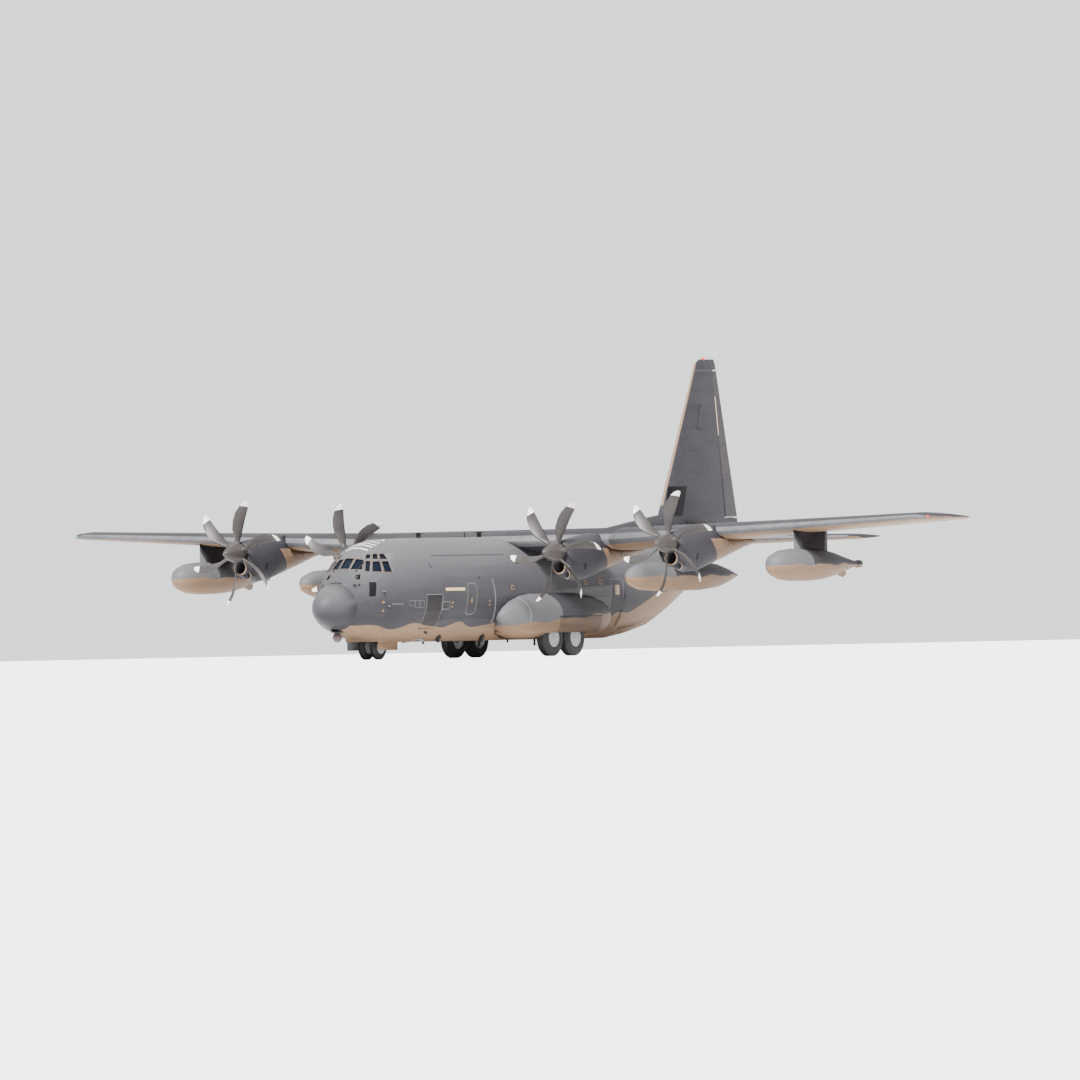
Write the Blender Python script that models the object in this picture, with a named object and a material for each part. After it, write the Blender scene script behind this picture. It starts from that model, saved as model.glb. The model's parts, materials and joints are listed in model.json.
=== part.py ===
"""Military transport plane: high wing, four six-bladed propellers, loading ramp, built at half size.

Every length below is the real aeroplane's, in metres: X to port, Y aft from the nose's tip, Z up from
the ground it is parked on. A root empty halves it all and puts the origin under the middle of its length.
"""

import math

import bmesh
import bpy
from mathutils import Matrix, Vector

SCALE = 0.5  # 1:2, because the real span is over forty metres
LENGTH = 29.79
ALL = "military_transport_plane"

GAP = 0.0007  # between pieces that touch, 0.35 mm on the model
CLEAR = 0.014  # between pieces that move, 7 mm on the model
SKIN = 0.06
LAP = 0.02  # how far one solid of a piece runs into the next
RING_POINTS = 32
ROUND = 20
SMOOTH_ANGLE = math.radians(40)

BODY_RADIUS = 2.16
BODY_AXIS_Z = 2.50
BELLY_Z = 0.66
RADOME_Y = 1.17
CENTRE_Y = 5.90
RAMP_Y = 18.30
CARGO_DOOR_Y = 21.40
CARGO_DOOR_END_Y = 25.20
TAIL_Y = 29.60

# y, half width, top z, z of the widest line, bottom z, z where the belly is cut flat, upper and lower power
BODY = (
    (0.00, 0.06, 2.06, 1.98, 1.90, 1.90, 2.0, 2.0),
    (0.10, 0.28, 2.28, 1.99, 1.72, 1.72, 2.0, 2.0),
    (0.30, 0.47, 2.50, 1.99, 1.54, 1.54, 2.0, 2.0),
    (0.60, 0.69, 2.70, 1.98, 1.36, 1.36, 2.0, 2.0),
    (1.17, 1.02, 2.94, 1.97, 1.12, 1.13, 2.0, 2.0),
    (1.40, 1.15, 3.08, 1.97, 1.05, 1.07, 2.0, 2.0),
    (1.65, 1.28, 3.28, 2.00, 0.99, 1.02, 1.9, 2.0),
    (1.98, 1.44, 3.66, 2.04, 0.91, 0.95, 1.85, 2.0),
    (2.60, 1.70, 4.24, 2.12, 0.76, 0.82, 1.9, 2.0),
    (3.00, 1.84, 4.42, 2.18, 0.66, 0.75, 2.0, 2.0),
    (3.60, 1.98, 4.55, 2.26, 0.55, 0.69, 2.05, 2.0),
    (4.40, 2.10, 4.63, 2.37, 0.42, 0.66, 2.05, 2.0),
    (5.90, 2.16, 4.66, 2.50, 0.34, 0.66, 2.0, 2.0),
    (18.30, 2.16, 4.66, 2.50, 0.34, 0.66, 2.0, 2.0),
    (19.80, 2.11, 4.67, 2.60, 0.62, 0.86, 2.0, 2.2),
    (21.30, 1.96, 4.69, 2.80, 0.98, 1.12, 2.0, 2.4),
    (22.70, 1.74, 4.72, 3.00, 1.54, 1.63, 2.1, 2.4),
    (24.10, 1.44, 4.76, 3.25, 2.16, 2.20, 2.2, 2.3),
    (26.00, 1.02, 4.82, 3.75, 2.98, 3.00, 2.3, 2.2),
    (28.00, 0.58, 4.84, 4.20, 3.73, 3.75, 2.3, 2.2),
    (29.60, 0.26, 4.62, 4.38, 4.15, 4.16, 2.2, 2.2),
)

# corners in Y and Z of each window of the flight deck, front lower, front upper, rear upper and rear lower;
# each is cut square through the skin on both sides, and the first, in the middle, is cut across both at once
CENTRE_WINDOW = ((1.86, 3.50), (2.25, 3.90))  # y and z of its lower and upper edge
CENTRE_WINDOW_HALF = 0.20
SIDE_WINDOWS = (
    ((1.855, 3.475), (2.26, 3.88), (2.33, 3.84), (2.03, 3.46)),
    ((2.06, 3.40), (2.35, 3.80), (2.44, 3.78), (2.17, 3.39)),
    ((2.24, 3.38), (2.48, 3.77), (2.68, 3.76), (2.53, 3.36)),
    ((2.61, 3.36), (2.75, 3.77), (2.98, 3.77), (2.90, 3.36)),
    ((2.40, 3.88), (2.55, 4.05), (2.64, 4.05), (2.50, 3.88)),
    ((2.54, 3.86), (2.71, 4.06), (2.84, 4.06), (2.70, 3.86)),
    ((2.76, 3.85), (2.90, 4.06), (3.05, 4.06), (3.01, 3.85)),
    ((1.62, 3.09), (1.78, 3.27), (1.89, 3.29), (1.75, 3.09)),
)
WINDOW_REACH = 0.11  # how far each window's cutter goes out and in from the skin
GLASS = 0.016
GLAZING_Y = (1.40, 3.60)
GLAZING_Z = (2.98, 4.20)
GLAZING_END_Y = 3.20
GLASS_GAP = 0.009  # between the skin and the panes, in each section

HOLD_FLOOR_Z = 1.05
HOLD_FLOOR_THICK = 0.10
HOLD_FLOOR_HALF = 1.33
HOLD_FLOOR_Y = (4.62, 18.26)
FLOOR_BEAMS_X = (-0.70, 0.0, 0.70)
FLOOR_BEAM = 0.08

DECK_Z = 2.05
DECK_THICK = 0.10
DECK_EDGE = 0.008  # between the deck's rim and the skin
DECK_POSTS = ((0.50, 3.10), (-0.50, 3.10), (0.50, 4.20), (-0.50, 4.20))  # x and y of what holds it up
DECK_POST = 0.08
DECK_Y = (1.40, 4.40)
BULKHEAD = 0.06
DECK_DOOR = (0.36, 3.95)  # half width and top z of the doorway in the rear bulkhead
# width, depth, height of the cushion, height of the back above it and the back's thickness
SEAT = (0.50, 0.50, 0.48, 0.62, 0.12)
SEATS = ((0.62, 2.70), (-0.62, 2.70), (0.0, 3.45))  # x and front y of the two pilots' and the third seat
PANEL = (0.74, 1.80, 1.98, 2.94)  # half width, front y, rear y and top z of the instrument panel
CONSOLE = (0.22, 1.90, 3.00, 2.55)  # half width, front y, rear y and top z of the centre console

CREW_DOOR_Y = (4.42, 5.42)
CREW_DOOR_Z = (1.15, 2.42)
CREW_SILL = 0.020  # the hole reaches this far below the crew door, where its hinge barrel turns
CREW_BARREL = 0.0234
PARATROOP_DOOR_Y = (17.24, 18.08)
PARATROOP_DOOR_Z = (1.12, 2.95)
DOOR_INSET = 0.008  # of each side door's faces from those of the skin
FLANK_X = (1.2, 2.6)  # the reach of the cutters that open the flanks

RAMP_HALF = 1.45
CARGO_DOOR_END_HALF = 0.72
RAMP_TOP_Z = (1.05, 1.42)
BELLY_HOLE_TOPS = (1.40, 1.80, 3.05)  # top z of the hole at the ramp's front, at the seam and at its rear end
RAMP_BARREL_HALF = 1.1
CARGO_DOOR_BARREL_HALF = 0.5
CARGO_DOOR_SHELL_Y = (20.40, 25.50)
CARGO_DOOR_KEEP_TOPS = (2.40, 3.20)
RAMP_FRONT_GAP = 0.012
CARGO_DOOR_THICK = 0.10
CARGO_DOOR_REAR_GAP = 0.012
CARGO_DOOR_REAR_LEAN = 0.60  # how far the door's rear face goes forward for its rise, to clear the sill
SEAM_LEAN = 0.60  # the same for the seam between the ramp and the cargo door
SEAM_Z = 1.14
BARREL = CLEAR - GAP / 2

NOSE_GEAR_Y = 3.68
NOSE_WELL = (0.69, 2.98, 4.38, 1.04)  # half width, front y, rear y and roof z
NOSE_WELL_WALL = 0.04
# thickness, the length it hangs below the belly, its gap at each end and how far its root runs up
NOSE_DOOR = (0.035, 0.30, 0.04, 0.12)
NOSE_TYRE = (0.495, 0.30, 0.27)  # radius, width and X of its middle
NOSE_RIM_RADIUS = 0.27

MAIN_GEAR_Y = 13.46
MAIN_WHEEL_REACH = 0.76  # from the middle of the gear to each wheel
MAIN_WHEEL_X = 2.22
MAIN_TYRE = (0.71, 0.46)  # radius and width
MAIN_RIM_RADIUS = 0.36
ARM_X = (1.916, 1.966)
AXLE = 0.055
HUB_BORE = AXLE + 0.0014
NOSE_LEG_RADIUS = 0.105
NOSE_FORK = (0.86, 0.10, 0.085)  # z where it turns below the leg, its foot below the axle and its radius
NOSE_RIM_INSET = 0.02
MAIN_RIM_INSET = 0.03
STUB_INSET = 0.08
MAIN_ARM = (0.11, 0.13)  # half its length along the body and its foot below the axle
MAIN_BEAM = (0.22, 0.06)  # how far its lower and upper faces lie below the well's roof
# inset from the tyre's side and drop from its tread, then inset and rise from its bore
TYRE_SHOULDER = ((0.09, 0.0), (0.02, 0.10))
TYRE_BEAD = ((0.0, 0.06), (0.03, 0.0))
MAIN_WELL = (1.90, 2.53, 11.95, 14.97, 1.50)  # low X, high X, front y, rear y and roof z
# y, half width of the sponson from the middle of the body, top z and bottom z
SPONSON = (
    (9.42, 2.08, 1.75, 1.45),
    (9.62, 2.30, 2.05, 1.15),
    (10.00, 2.50, 2.32, 0.90),
    (10.65, 2.66, 2.52, 0.74),
    (11.40, 2.73, 2.60, 0.68),
    (14.60, 2.73, 2.60, 0.68),
    (15.80, 2.60, 2.48, 0.72),
    (16.60, 2.42, 2.28, 0.84),
    (17.12, 2.18, 1.98, 1.10),
)
SPONSON_CORE_X = 1.25
SPONSON_WIDEST_Z = 1.60
SPONSON_POWER = 3.4

WING_LE_Y = 11.77
WING_LE_Z = 4.45
WING_KINK_X = 5.60
WING_TIP_X = 20.20
ROOT_CHORD = 4.88
TIP_CHORD = 2.54
TIP_SWEEP = 0.60
TIP_KEEP = 0.85  # the part of the chord toward which the tip narrows
DIHEDRAL = math.radians(2.5)
INCIDENCE = math.radians(3.0)
ROOT_THICK = 0.18
TIP_THICK = 0.12
CAMBER = 0.022
FOIL_STEPS = 9
NOSE_ARC_STEPS = 5
FLAP_HINGE = 0.78  # as a part of the chord
OUTER_STATIONS_X = (5.60, 9.20, 12.80, 16.40, 19.25)
# X of the rounded tip's sections, and how much of the chord behind and of the thickness is left there
WING_TIP = ((19.75, 0.92, 0.80), (20.05, 0.76, 0.55), (20.20, 0.55, 0.25))
# name, low X, high X and the hinge's place on the chord
INNER_FLAP = (2.36, 5.54, FLAP_HINGE)
OUTER_FLAP = (5.66, 12.28, FLAP_HINGE)
AILERON = (12.42, 19.10, 0.78)
SURFACE_END_GAP = 0.045
HINGE_PIN = 0.016
THIN_EDGE = 0.012  # half the thickness of a surface's trailing edge
COVE_LENGTH = 4.0
COVE_REACH = 1.0

ENGINES = ((1, 9.96, 4.22, 37.0), (2, 4.82, 3.98, 48.5), (3, -4.82, 3.98, 15.0), (4, -9.96, 4.22, 37.0))
PROP_Y = 9.27
SPINNER = ((8.38, 0.03), (8.48, 0.12), (8.68, 0.22), (8.95, 0.31), (9.20, 0.36), (9.46, 0.38))
SHAFT_RADIUS = 0.12
BLADES = 6
# radius, chord, thickness, angle from the disc in degrees, sweep back along the disc
BLADE = (
    (0.20, 0.19, 0.150, 62.0, 0.00),
    (0.55, 0.24, 0.110, 59.0, -0.01),
    (0.95, 0.44, 0.052, 52.0, -0.06),
    (1.30, 0.47, 0.040, 46.0, -0.03),
    (1.60, 0.45, 0.030, 42.0, 0.04),
    (1.86, 0.36, 0.022, 37.0, 0.15),
    (2.02, 0.22, 0.014, 34.0, 0.26),
    (2.055, 0.12, 0.012, 34.0, 0.30),
)
BLADE_POINTS = 8
NACELLE_POINTS = 20
# y, half width, height above the hub and depth below it
NACELLE_POWER = 2.3  # the roundness of its section, two being an ellipse
NACELLE = (
    (9.50, 0.42, 0.42, 0.85),
    (9.80, 0.50, 0.49, 0.95),
    (10.40, 0.57, 0.57, 1.10),
    (11.10, 0.60, 0.67, 1.05),
    (11.75, 0.60, 0.74, 0.88),
    (12.60, 0.58, 0.72, 0.66),
    (13.40, 0.52, 0.52, 0.45),
    (14.30, 0.42, 0.28, 0.20),
    (15.10, 0.28, 0.10, 0.04),
)
ENGINE = (0.36, 9.62, 11.60)  # radius, front y and rear y
INTAKE = (0.54, 0.25, 9.40, 10.10)  # depth below the hub, radius, front y and how far back it is open

TANK_X = 7.53
TANK_Z = 2.98
# y and radius
TANK = (
    (10.14, 0.04), (10.20, 0.16), (10.48, 0.36), (11.05, 0.51), (11.90, 0.555), (15.20, 0.555),
    (16.30, 0.46), (17.20, 0.25), (17.90, 0.04),
)
TANK_PYLON = (12.40, 15.10, 0.16)  # front y, rear y and width
POD_X = 13.75
POD_Z = 3.31
POD = (
    (10.60, 0.05), (10.67, 0.24), (10.95, 0.45), (11.40, 0.58), (12.00, 0.625), (13.40, 0.625), (14.30, 0.56),
    (15.00, 0.45), (15.90, 0.25), (16.60, 0.115), (16.70, 0.115), (16.76, 0.15), (16.98, 0.15), (17.05, 0.08),
)
POD_BULGE = (15.15, 15.75, 0.36, 0.15)  # front and rear y, depth and radius of the round end below its tail
PYLON_TAPER = 0.35
PYLON_FOOT = 0.2  # how far above the store's own axis it starts
POD_PYLON = (12.30, 14.70, 0.18)

TAILPLANE_Z = 4.42
# x, leading-edge y, chord and thickness as a part of the chord
TAILPLANE = ((0.0, 23.42, 4.24, 0.13), (7.70, 25.62, 2.05, 0.11), (8.02, 25.95, 1.72, 0.08))
ELEVATOR = (1.16, 7.66, 0.68)
# z, leading-edge y, chord and thickness
FIN = ((4.55, 23.20, 6.59, 0.085), (5.40, 23.97, 5.66, 0.10), (6.06, 24.30, 5.14, 0.10),
       (8.40, 25.40, 3.62, 0.10), (11.10, 26.68, 1.64, 0.10), (11.32, 26.80, 1.48, 0.09), (11.50, 27.10, 1.07, 0.07))
RUDDER = (5.32, 11.04)
RUDDER_HINGE = ((28.72, 5.32), (28.06, 11.04))  # y and z of its lower and upper end
# y, half width at the foot and top z
DORSAL = ((19.00, 0.05, 4.76), (20.20, 0.16, 4.93), (21.96, 0.24, 5.16), (23.97, 0.28, 5.41),
          (25.20, 0.28, 5.46))
DORSAL_FOOT_Z = 4.45

TURRET = (1.28, 0.88, 0.19)  # y, z and radius of the sensor ball
TURRET_NECK = (0.10, 0.04)  # radius and how far below the ball's top it starts

PAINT_GREY = (0.30, 0.30, 0.33, 1.0)
PAINT_TAN = (0.56, 0.47, 0.40, 1.0)
BLADE_GREY = (0.10, 0.10, 0.11, 1.0)
RUBBER = (0.03, 0.03, 0.03, 1.0)
RIM_WHITE = (0.55, 0.55, 0.55, 1.0)
STEEL = (0.55, 0.56, 0.58, 1.0)
DECK_GREY = (0.22, 0.23, 0.24, 1.0)
GLASS_BLUE = (0.05, 0.06, 0.09, 1.0)


def clear_scene():
    for obj in list(bpy.data.objects):
        bpy.data.objects.remove(obj, do_unlink=True)


def new_collection(name):
    made = bpy.data.collections.new(name)
    bpy.context.scene.collection.children.link(made)
    return made


def principled(name, colour, roughness, metallic):
    """A Principled material of one colour, made once for each name."""
    made = bpy.data.materials.get(name)
    if made is None:
        made = bpy.data.materials.new(name)
        made.use_nodes = True
        shader = made.node_tree.nodes["Principled BSDF"]
        shader.inputs["Base Color"].default_value = colour
        shader.inputs["Roughness"].default_value = roughness
        shader.inputs["Metallic"].default_value = metallic
        made.diffuse_color = colour
    return made


def grey_paint():
    return principled("grey_paint", PAINT_GREY, 0.65, 0.0)


def tail_paint():
    return principled("tail_paint", PAINT_GREY, 0.65, 0.0)


def tan_paint():
    return principled("tan_paint", PAINT_TAN, 0.65, 0.0)


def blade_paint():
    return principled("blade_paint", BLADE_GREY, 0.45, 0.0)


def tyre_rubber():
    return principled("tyre_rubber", RUBBER, 0.85, 0.0)


def rim_paint():
    return principled("rim_paint", RIM_WHITE, 0.45, 0.0)


def gear_steel():
    return principled("gear_steel", STEEL, 0.35, 0.8)


def deck_paint():
    return principled("deck_paint", DECK_GREY, 0.7, 0.0)


def window_glass():
    return principled("window_glass", GLASS_BLUE, 0.05, 0.0)


def finish_mesh(bm, name):
    """The mesh with its faces pointing out and its round parts smooth."""
    bmesh.ops.recalc_face_normals(bm, faces=bm.faces)
    if bm.calc_volume(signed=True) < 0:
        bmesh.ops.reverse_faces(bm, faces=bm.faces)
    mesh = bpy.data.meshes.new(name)
    bm.to_mesh(mesh)
    bm.free()
    mesh.shade_smooth()
    mesh.set_sharp_from_angle(angle=SMOOTH_ANGLE)
    return mesh


def add_rings(bm, rings, looped=False):
    """Triangles between each ring of points and the next, closed at both ends unless the rings form a loop."""
    rows = [[bm.verts.new(point) for point in ring] for ring in rings]
    pairs = list(zip(rows, rows[1:]))
    if looped:
        pairs.append((rows[-1], rows[0]))
    count = len(rows[0])
    for first, second in pairs:
        for i in range(count):
            j = (i + 1) % count
            bm.faces.new((first[i], first[j], second[j]))
            bm.faces.new((first[i], second[j], second[i]))
    if not looped:
        bm.faces.new(list(reversed(rows[0])))
        bm.faces.new(rows[-1])


def loft(name, rings, looped=False):
    bm = bmesh.new()
    add_rings(bm, rings, looped)
    return finish_mesh(bm, name)


def box_mesh(name, low, high):
    bm = bmesh.new()
    bmesh.ops.create_cube(bm, size=1.0)
    size = [b - a for a, b in zip(low, high)]
    middle = [(a + b) / 2 for a, b in zip(low, high)]
    bm.transform(Matrix.Translation(middle) @ Matrix.Diagonal((*size, 1.0)))
    return finish_mesh(bm, name)


def rod_mesh(name, start, end, radius, end_radius=None, segments=ROUND):
    """A closed cylinder, or a cone, from one point to another."""
    bm = bmesh.new()
    along = Vector(end) - Vector(start)
    bmesh.ops.create_cone(bm, cap_ends=True, segments=segments, radius1=radius,
                          radius2=radius if end_radius is None else end_radius, depth=along.length)
    turn = along.to_track_quat("Z", "Y").to_matrix().to_4x4()
    bm.transform(Matrix.Translation((Vector(start) + Vector(end)) / 2) @ turn)
    return finish_mesh(bm, name)


def turned_mesh(name, rows, centre, segments=ROUND):
    """A body turned about a line along Y from rows of y and radius."""
    x, z = centre
    rings = []
    for y, radius in rows:
        angles = [math.tau * i / segments for i in range(segments)]
        rings.append([(x + radius * math.cos(a), y, z + radius * math.sin(a)) for a in angles])
    return loft(name, rings)


def prism_z(name, outline, low_z, high_z):
    """A flat outline in X and Y, carried from one Z to another."""
    return loft(name, [[(x, y, z) for x, y in outline] for z in (low_z, high_z)])


def place(name, mesh, mat, pivot=(0.0, 0.0, 0.0)):
    """A sub-part of the plane whose origin is at its pivot."""
    pivot = Vector(pivot)
    mesh.transform(Matrix.Translation(-pivot))
    obj = bpy.data.objects.new(name, mesh)
    obj.location = pivot
    obj.parent = ROOT
    PARTS.objects.link(obj)
    if mat is not None:
        mesh.materials.clear()
        mesh.materials.append(mat)
    return obj


def cutter(mesh):
    """A hidden body for a Boolean."""
    obj = bpy.data.objects.new("cutter_" + mesh.name, mesh)
    obj.hide_render = True
    obj.display_type = "WIRE"
    obj.parent = ROOT
    CUTTERS.objects.link(obj)
    return obj


def combine(obj, mesh, operation):
    other = mesh if isinstance(mesh, bpy.types.Object) else cutter(mesh)
    step = obj.modifiers.new(operation.lower(), "BOOLEAN")
    step.operation = operation
    step.solver = "EXACT"
    step.object = other
    return other


def cut(obj, mesh):
    return combine(obj, mesh, "DIFFERENCE")


def join(obj, mesh):
    return combine(obj, mesh, "UNION")


def keep(obj, mesh):
    return combine(obj, mesh, "INTERSECT")


def between(rows, at):
    """The row of a table at a place along its first column, by straight lines between its rows."""
    for first, second in zip(rows, rows[1:]):
        if at <= second[0]:
            part = (at - first[0]) / (second[0] - first[0])
            return [a + (b - a) * part for a, b in zip(first, second)]
    return list(rows[-1])


def body_ring(y, inset=0.0):
    """One section of the body, drawn in by an inset."""
    _, half, top, mid, bottom, clip, upper, lower = between(BODY, y)
    ring = []
    for i in range(RING_POINTS):
        angle = math.tau * (i + 0.5) / RING_POINTS
        c = math.cos(angle)
        s = math.sin(angle)
        power = upper if s > 0 else lower
        tall = top - mid if s > 0 else mid - bottom
        x = (half - inset) * math.copysign(abs(c) ** (2 / power), c)
        z = mid + (tall - inset) * math.copysign(abs(s) ** (2 / power), s)
        ring.append((x, y, max(z, clip + inset)))
    return ring


def skin_x(y, z):
    """Half width of the body's upper part at a place along it and a height."""
    _, half, top, mid, _, _, power, _ = between(BODY, y)
    rise = min((z - mid) / (top - mid), 1.0)
    return half * (1 - rise**power) ** (1 / power)


def pane_mesh(corners):
    """A block through the skin, square to the plane of four corners."""
    corners = [Vector(corner) for corner in corners]
    out = (corners[2] - corners[0]).cross(corners[3] - corners[1]).normalized()
    rings = [[corner + out * reach for corner in corners] for reach in (-WINDOW_REACH, WINDOW_REACH)]
    return loft("pane", rings)


def body_rings(start, end, inset=0.0):
    middle = [row[0] for row in BODY if start + 0.01 < row[0] < end - 0.01]
    return [body_ring(y, inset) for y in [start, *middle, end]]


def body_solid(name, start, end, inset=0.0):
    return loft(name, body_rings(start, end, inset))


def body_shell(name, start, end, outer=0.0, thick=SKIN):
    """A length of the body's skin, open at both ends."""
    rings = body_rings(start, end, outer) + list(reversed(body_rings(start, end, outer + thick)))
    return loft(name, rings, looped=True)


def both_sides():
    return (("left", 1), ("right", -1))


def make_radome():
    place("radome", body_solid("radome", 0.0, RADOME_Y - GAP), grey_paint())


def make_nose():
    nose = place("fuselage_nose", body_shell("nose", RADOME_Y, CENTRE_Y - GAP), grey_paint())
    half, front, rear, roof = NOSE_WELL
    wall = NOSE_WELL_WALL
    out = half + wall
    join(nose, box_mesh("well_box", (-out, front - wall, BELLY_Z + SKIN / 2), (out, rear + wall, roof + wall)))
    cut(nose, box_mesh("well", (-half, front, 0.0), (half, rear, roof)))
    thick, hang, end_gap, root = NOSE_DOOR
    for _, side in both_sides():
        x0, x1 = sorted((side * half, side * (half + thick)))
        low = (x0, front + end_gap, BELLY_Z - hang)
        join(nose, box_mesh("gear_door", low, (x1, rear - end_gap, BELLY_Z + root)))
    (low_y, low_z), (high_y, high_z) = CENTRE_WINDOW
    x = CENTRE_WINDOW_HALF
    cut(nose, pane_mesh(((-x, low_y, low_z), (-x, high_y, high_z), (x, high_y, high_z), (x, low_y, low_z))))
    for outline in SIDE_WINDOWS:
        for _, side in both_sides():
            cut(nose, pane_mesh([(side * skin_x(y, z), y, z) for y, z in outline]))
    cut(nose, door_hole("crew_hole", CREW_DOOR_Y, CREW_DOOR_Z, 1, 0.0, CREW_SILL))


def door_hole(name, span_y, span_z, side, shrink=0.0, sill=0.0):
    """A box through one flank of the body, over a door's height and length."""
    x0, x1 = sorted(side * x for x in FLANK_X)
    low_z = span_z[0] + shrink - sill
    return box_mesh(name, (x0, span_y[0] + shrink, low_z), (x1, span_y[1] - shrink, span_z[1] - shrink))


def make_glazing():
    shell = body_shell("glazing", *GLAZING_Y, SKIN + GLASS_GAP, GLASS)
    glazing = place("cockpit_glazing", shell, window_glass())
    low, high = GLAZING_Z
    keep(glazing, box_mesh("glazing_band", (-BODY_RADIUS, 0.0, low), (BODY_RADIUS, GLAZING_END_Y, high)))


def flank_x(z):
    """Half width of the constant body at a height."""
    return math.sqrt(BODY_RADIUS**2 - (z - BODY_AXIS_Z) ** 2)


def make_crew_door():
    z = CREW_DOOR_Z[0]
    ring_half = between(BODY, CREW_DOOR_Y[0])[1]
    hinge_x = flank_x(z) - (BODY_RADIUS - ring_half) + 0.040
    pivot = (hinge_x, sum(CREW_DOOR_Y) / 2, z - 0.003)
    door = place("crew_door", body_shell("crew_door", 4.0, CENTRE_Y - 0.1), tan_paint(), pivot)
    keep(door, door_hole("crew_keep", CREW_DOOR_Y, CREW_DOOR_Z, 1, CLEAR))
    join(door, rod_mesh("crew_barrel", (hinge_x, CREW_DOOR_Y[0] + 0.1, pivot[2]),
                        (hinge_x, CREW_DOOR_Y[1] - 0.1, pivot[2]), CREW_BARREL, segments=12))


def make_centre():
    centre = place("fuselage_centre", body_shell("centre", CENTRE_Y, RAMP_Y - GAP), grey_paint())
    cut(centre, wing_solid("wing_notch", GAP))
    for _, side in both_sides():
        cut(centre, door_hole("paratroop_hole", PARATROOP_DOOR_Y, PARATROOP_DOOR_Z, side))


def make_paratroop_doors():
    for name, side in both_sides():
        front, rear = PARATROOP_DOOR_Y
        shell = body_shell("paratroop_door", front - 0.2, rear + 0.2, DOOR_INSET, SKIN - 2 * DOOR_INSET)
        door = place(f"paratroop_door_{name}", shell, grey_paint())
        keep(door, door_hole("paratroop_keep", PARATROOP_DOOR_Y, PARATROOP_DOOR_Z, side, GAP))


def cargo_door_half(y, inset):
    """Half width of the cargo door's hole at a place along the body, less an inset."""
    part = (y - CARGO_DOOR_Y) / (CARGO_DOOR_END_Y - CARGO_DOOR_Y)
    return RAMP_HALF + (CARGO_DOOR_END_HALF - RAMP_HALF) * part - inset


def seam_y(offset):
    """Where the seam between the ramp and the cargo door, moved aft by an offset, meets the floor plane."""
    return CARGO_DOOR_Y + SEAM_LEAN * SEAM_Z + offset * math.hypot(1.0, SEAM_LEAN)


def belly_wedge(name, rows, half_at):
    """A block through the belly from rows of y at the floor plane, top z and forward lean as it rises."""
    rings = []
    for y, top, lean in rows:
        top_y = y - lean * top
        low_half = half_at(y)
        top_half = half_at(top_y)
        rings.append([(-low_half, y, 0.0), (low_half, y, 0.0), (top_half, top_y, top), (-top_half, top_y, top)])
    return loft(name, rings)


def make_aft():
    aft = place("fuselage_aft", body_shell("aft", RAMP_Y, TAIL_Y), grey_paint())
    low, seam, high = BELLY_HOLE_TOPS
    cut(aft, belly_wedge("ramp_hole", ((RAMP_Y - 0.1, low, 0.0), (CARGO_DOOR_Y, seam, 0.0)), lambda y: RAMP_HALF))
    rows = ((CARGO_DOOR_Y - GAP, seam, 0.0), (CARGO_DOOR_END_Y, high, 0.0))
    cut(aft, belly_wedge("cargo_door_hole", rows, lambda y: cargo_door_half(y, 0.0)))
    cut(aft, tailplane_solid("tailplane_notch", 2 * GAP))


def make_ramp():
    pivot = (0.0, RAMP_Y + CLEAR, BELLY_Z + SKIN / 2)
    front = RAMP_Y + CLEAR + RAMP_FRONT_GAP
    rows = ((front, RAMP_TOP_Z[0], 0.0), (seam_y(-CLEAR), RAMP_TOP_Z[1], SEAM_LEAN))
    ramp = place("ramp", belly_wedge("ramp", rows, lambda y: RAMP_HALF - CLEAR), deck_paint(), pivot)
    keep(ramp, body_solid("ramp_skin", RAMP_Y - 0.3, CARGO_DOOR_Y + 0.3))
    join(ramp, barrel("ramp_barrel", RAMP_BARREL_HALF, pivot))


def barrel(name, half, pivot):
    """The round hinge of the ramp or the cargo door, along X through its pivot."""
    _, y, z = pivot
    return rod_mesh(name, (-half, y, z), (half, y, z), BARREL, segments=12)


def make_cargo_door():
    y = CARGO_DOOR_END_Y - CLEAR
    pivot_z = between(BODY, y)[5] + SKIN / 2
    rear = y - CARGO_DOOR_REAR_GAP + CARGO_DOOR_REAR_LEAN * pivot_z
    pivot = (0.0, y, pivot_z)
    front, back = CARGO_DOOR_SHELL_Y
    door = place("cargo_door", body_shell("cargo_door", front, back, 0.0, CARGO_DOOR_THICK), grey_paint(), pivot)
    low, high = CARGO_DOOR_KEEP_TOPS
    rows = ((seam_y(CLEAR), low, SEAM_LEAN), (rear, high, CARGO_DOOR_REAR_LEAN))
    keep(door, belly_wedge("cargo_door_keep", rows, lambda y: cargo_door_half(y, CLEAR)))
    side = RAMP_HALF - 2 * CLEAR
    keep(door, box_mesh("cargo_door_sides", (-side, front, 0.0), (side, back, high)))
    join(door, barrel("cargo_door_barrel", CARGO_DOOR_BARREL_HALF, pivot))


def make_cargo_floor():
    low = HOLD_FLOOR_Z - HOLD_FLOOR_THICK
    y0, y1 = HOLD_FLOOR_Y
    half = HOLD_FLOOR_HALF
    floor = place("cargo_floor", box_mesh("cargo_floor", (-half, y0, low), (half, y1, HOLD_FLOOR_Z)), deck_paint())
    foot = BELLY_Z + SKIN + GAP
    half = FLOOR_BEAM / 2
    for x in FLOOR_BEAMS_X:
        join(floor, box_mesh("floor_beam", (x - half, y0 + 0.1, foot), (x + half, y1 - 0.1, low + LAP)))


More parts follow.
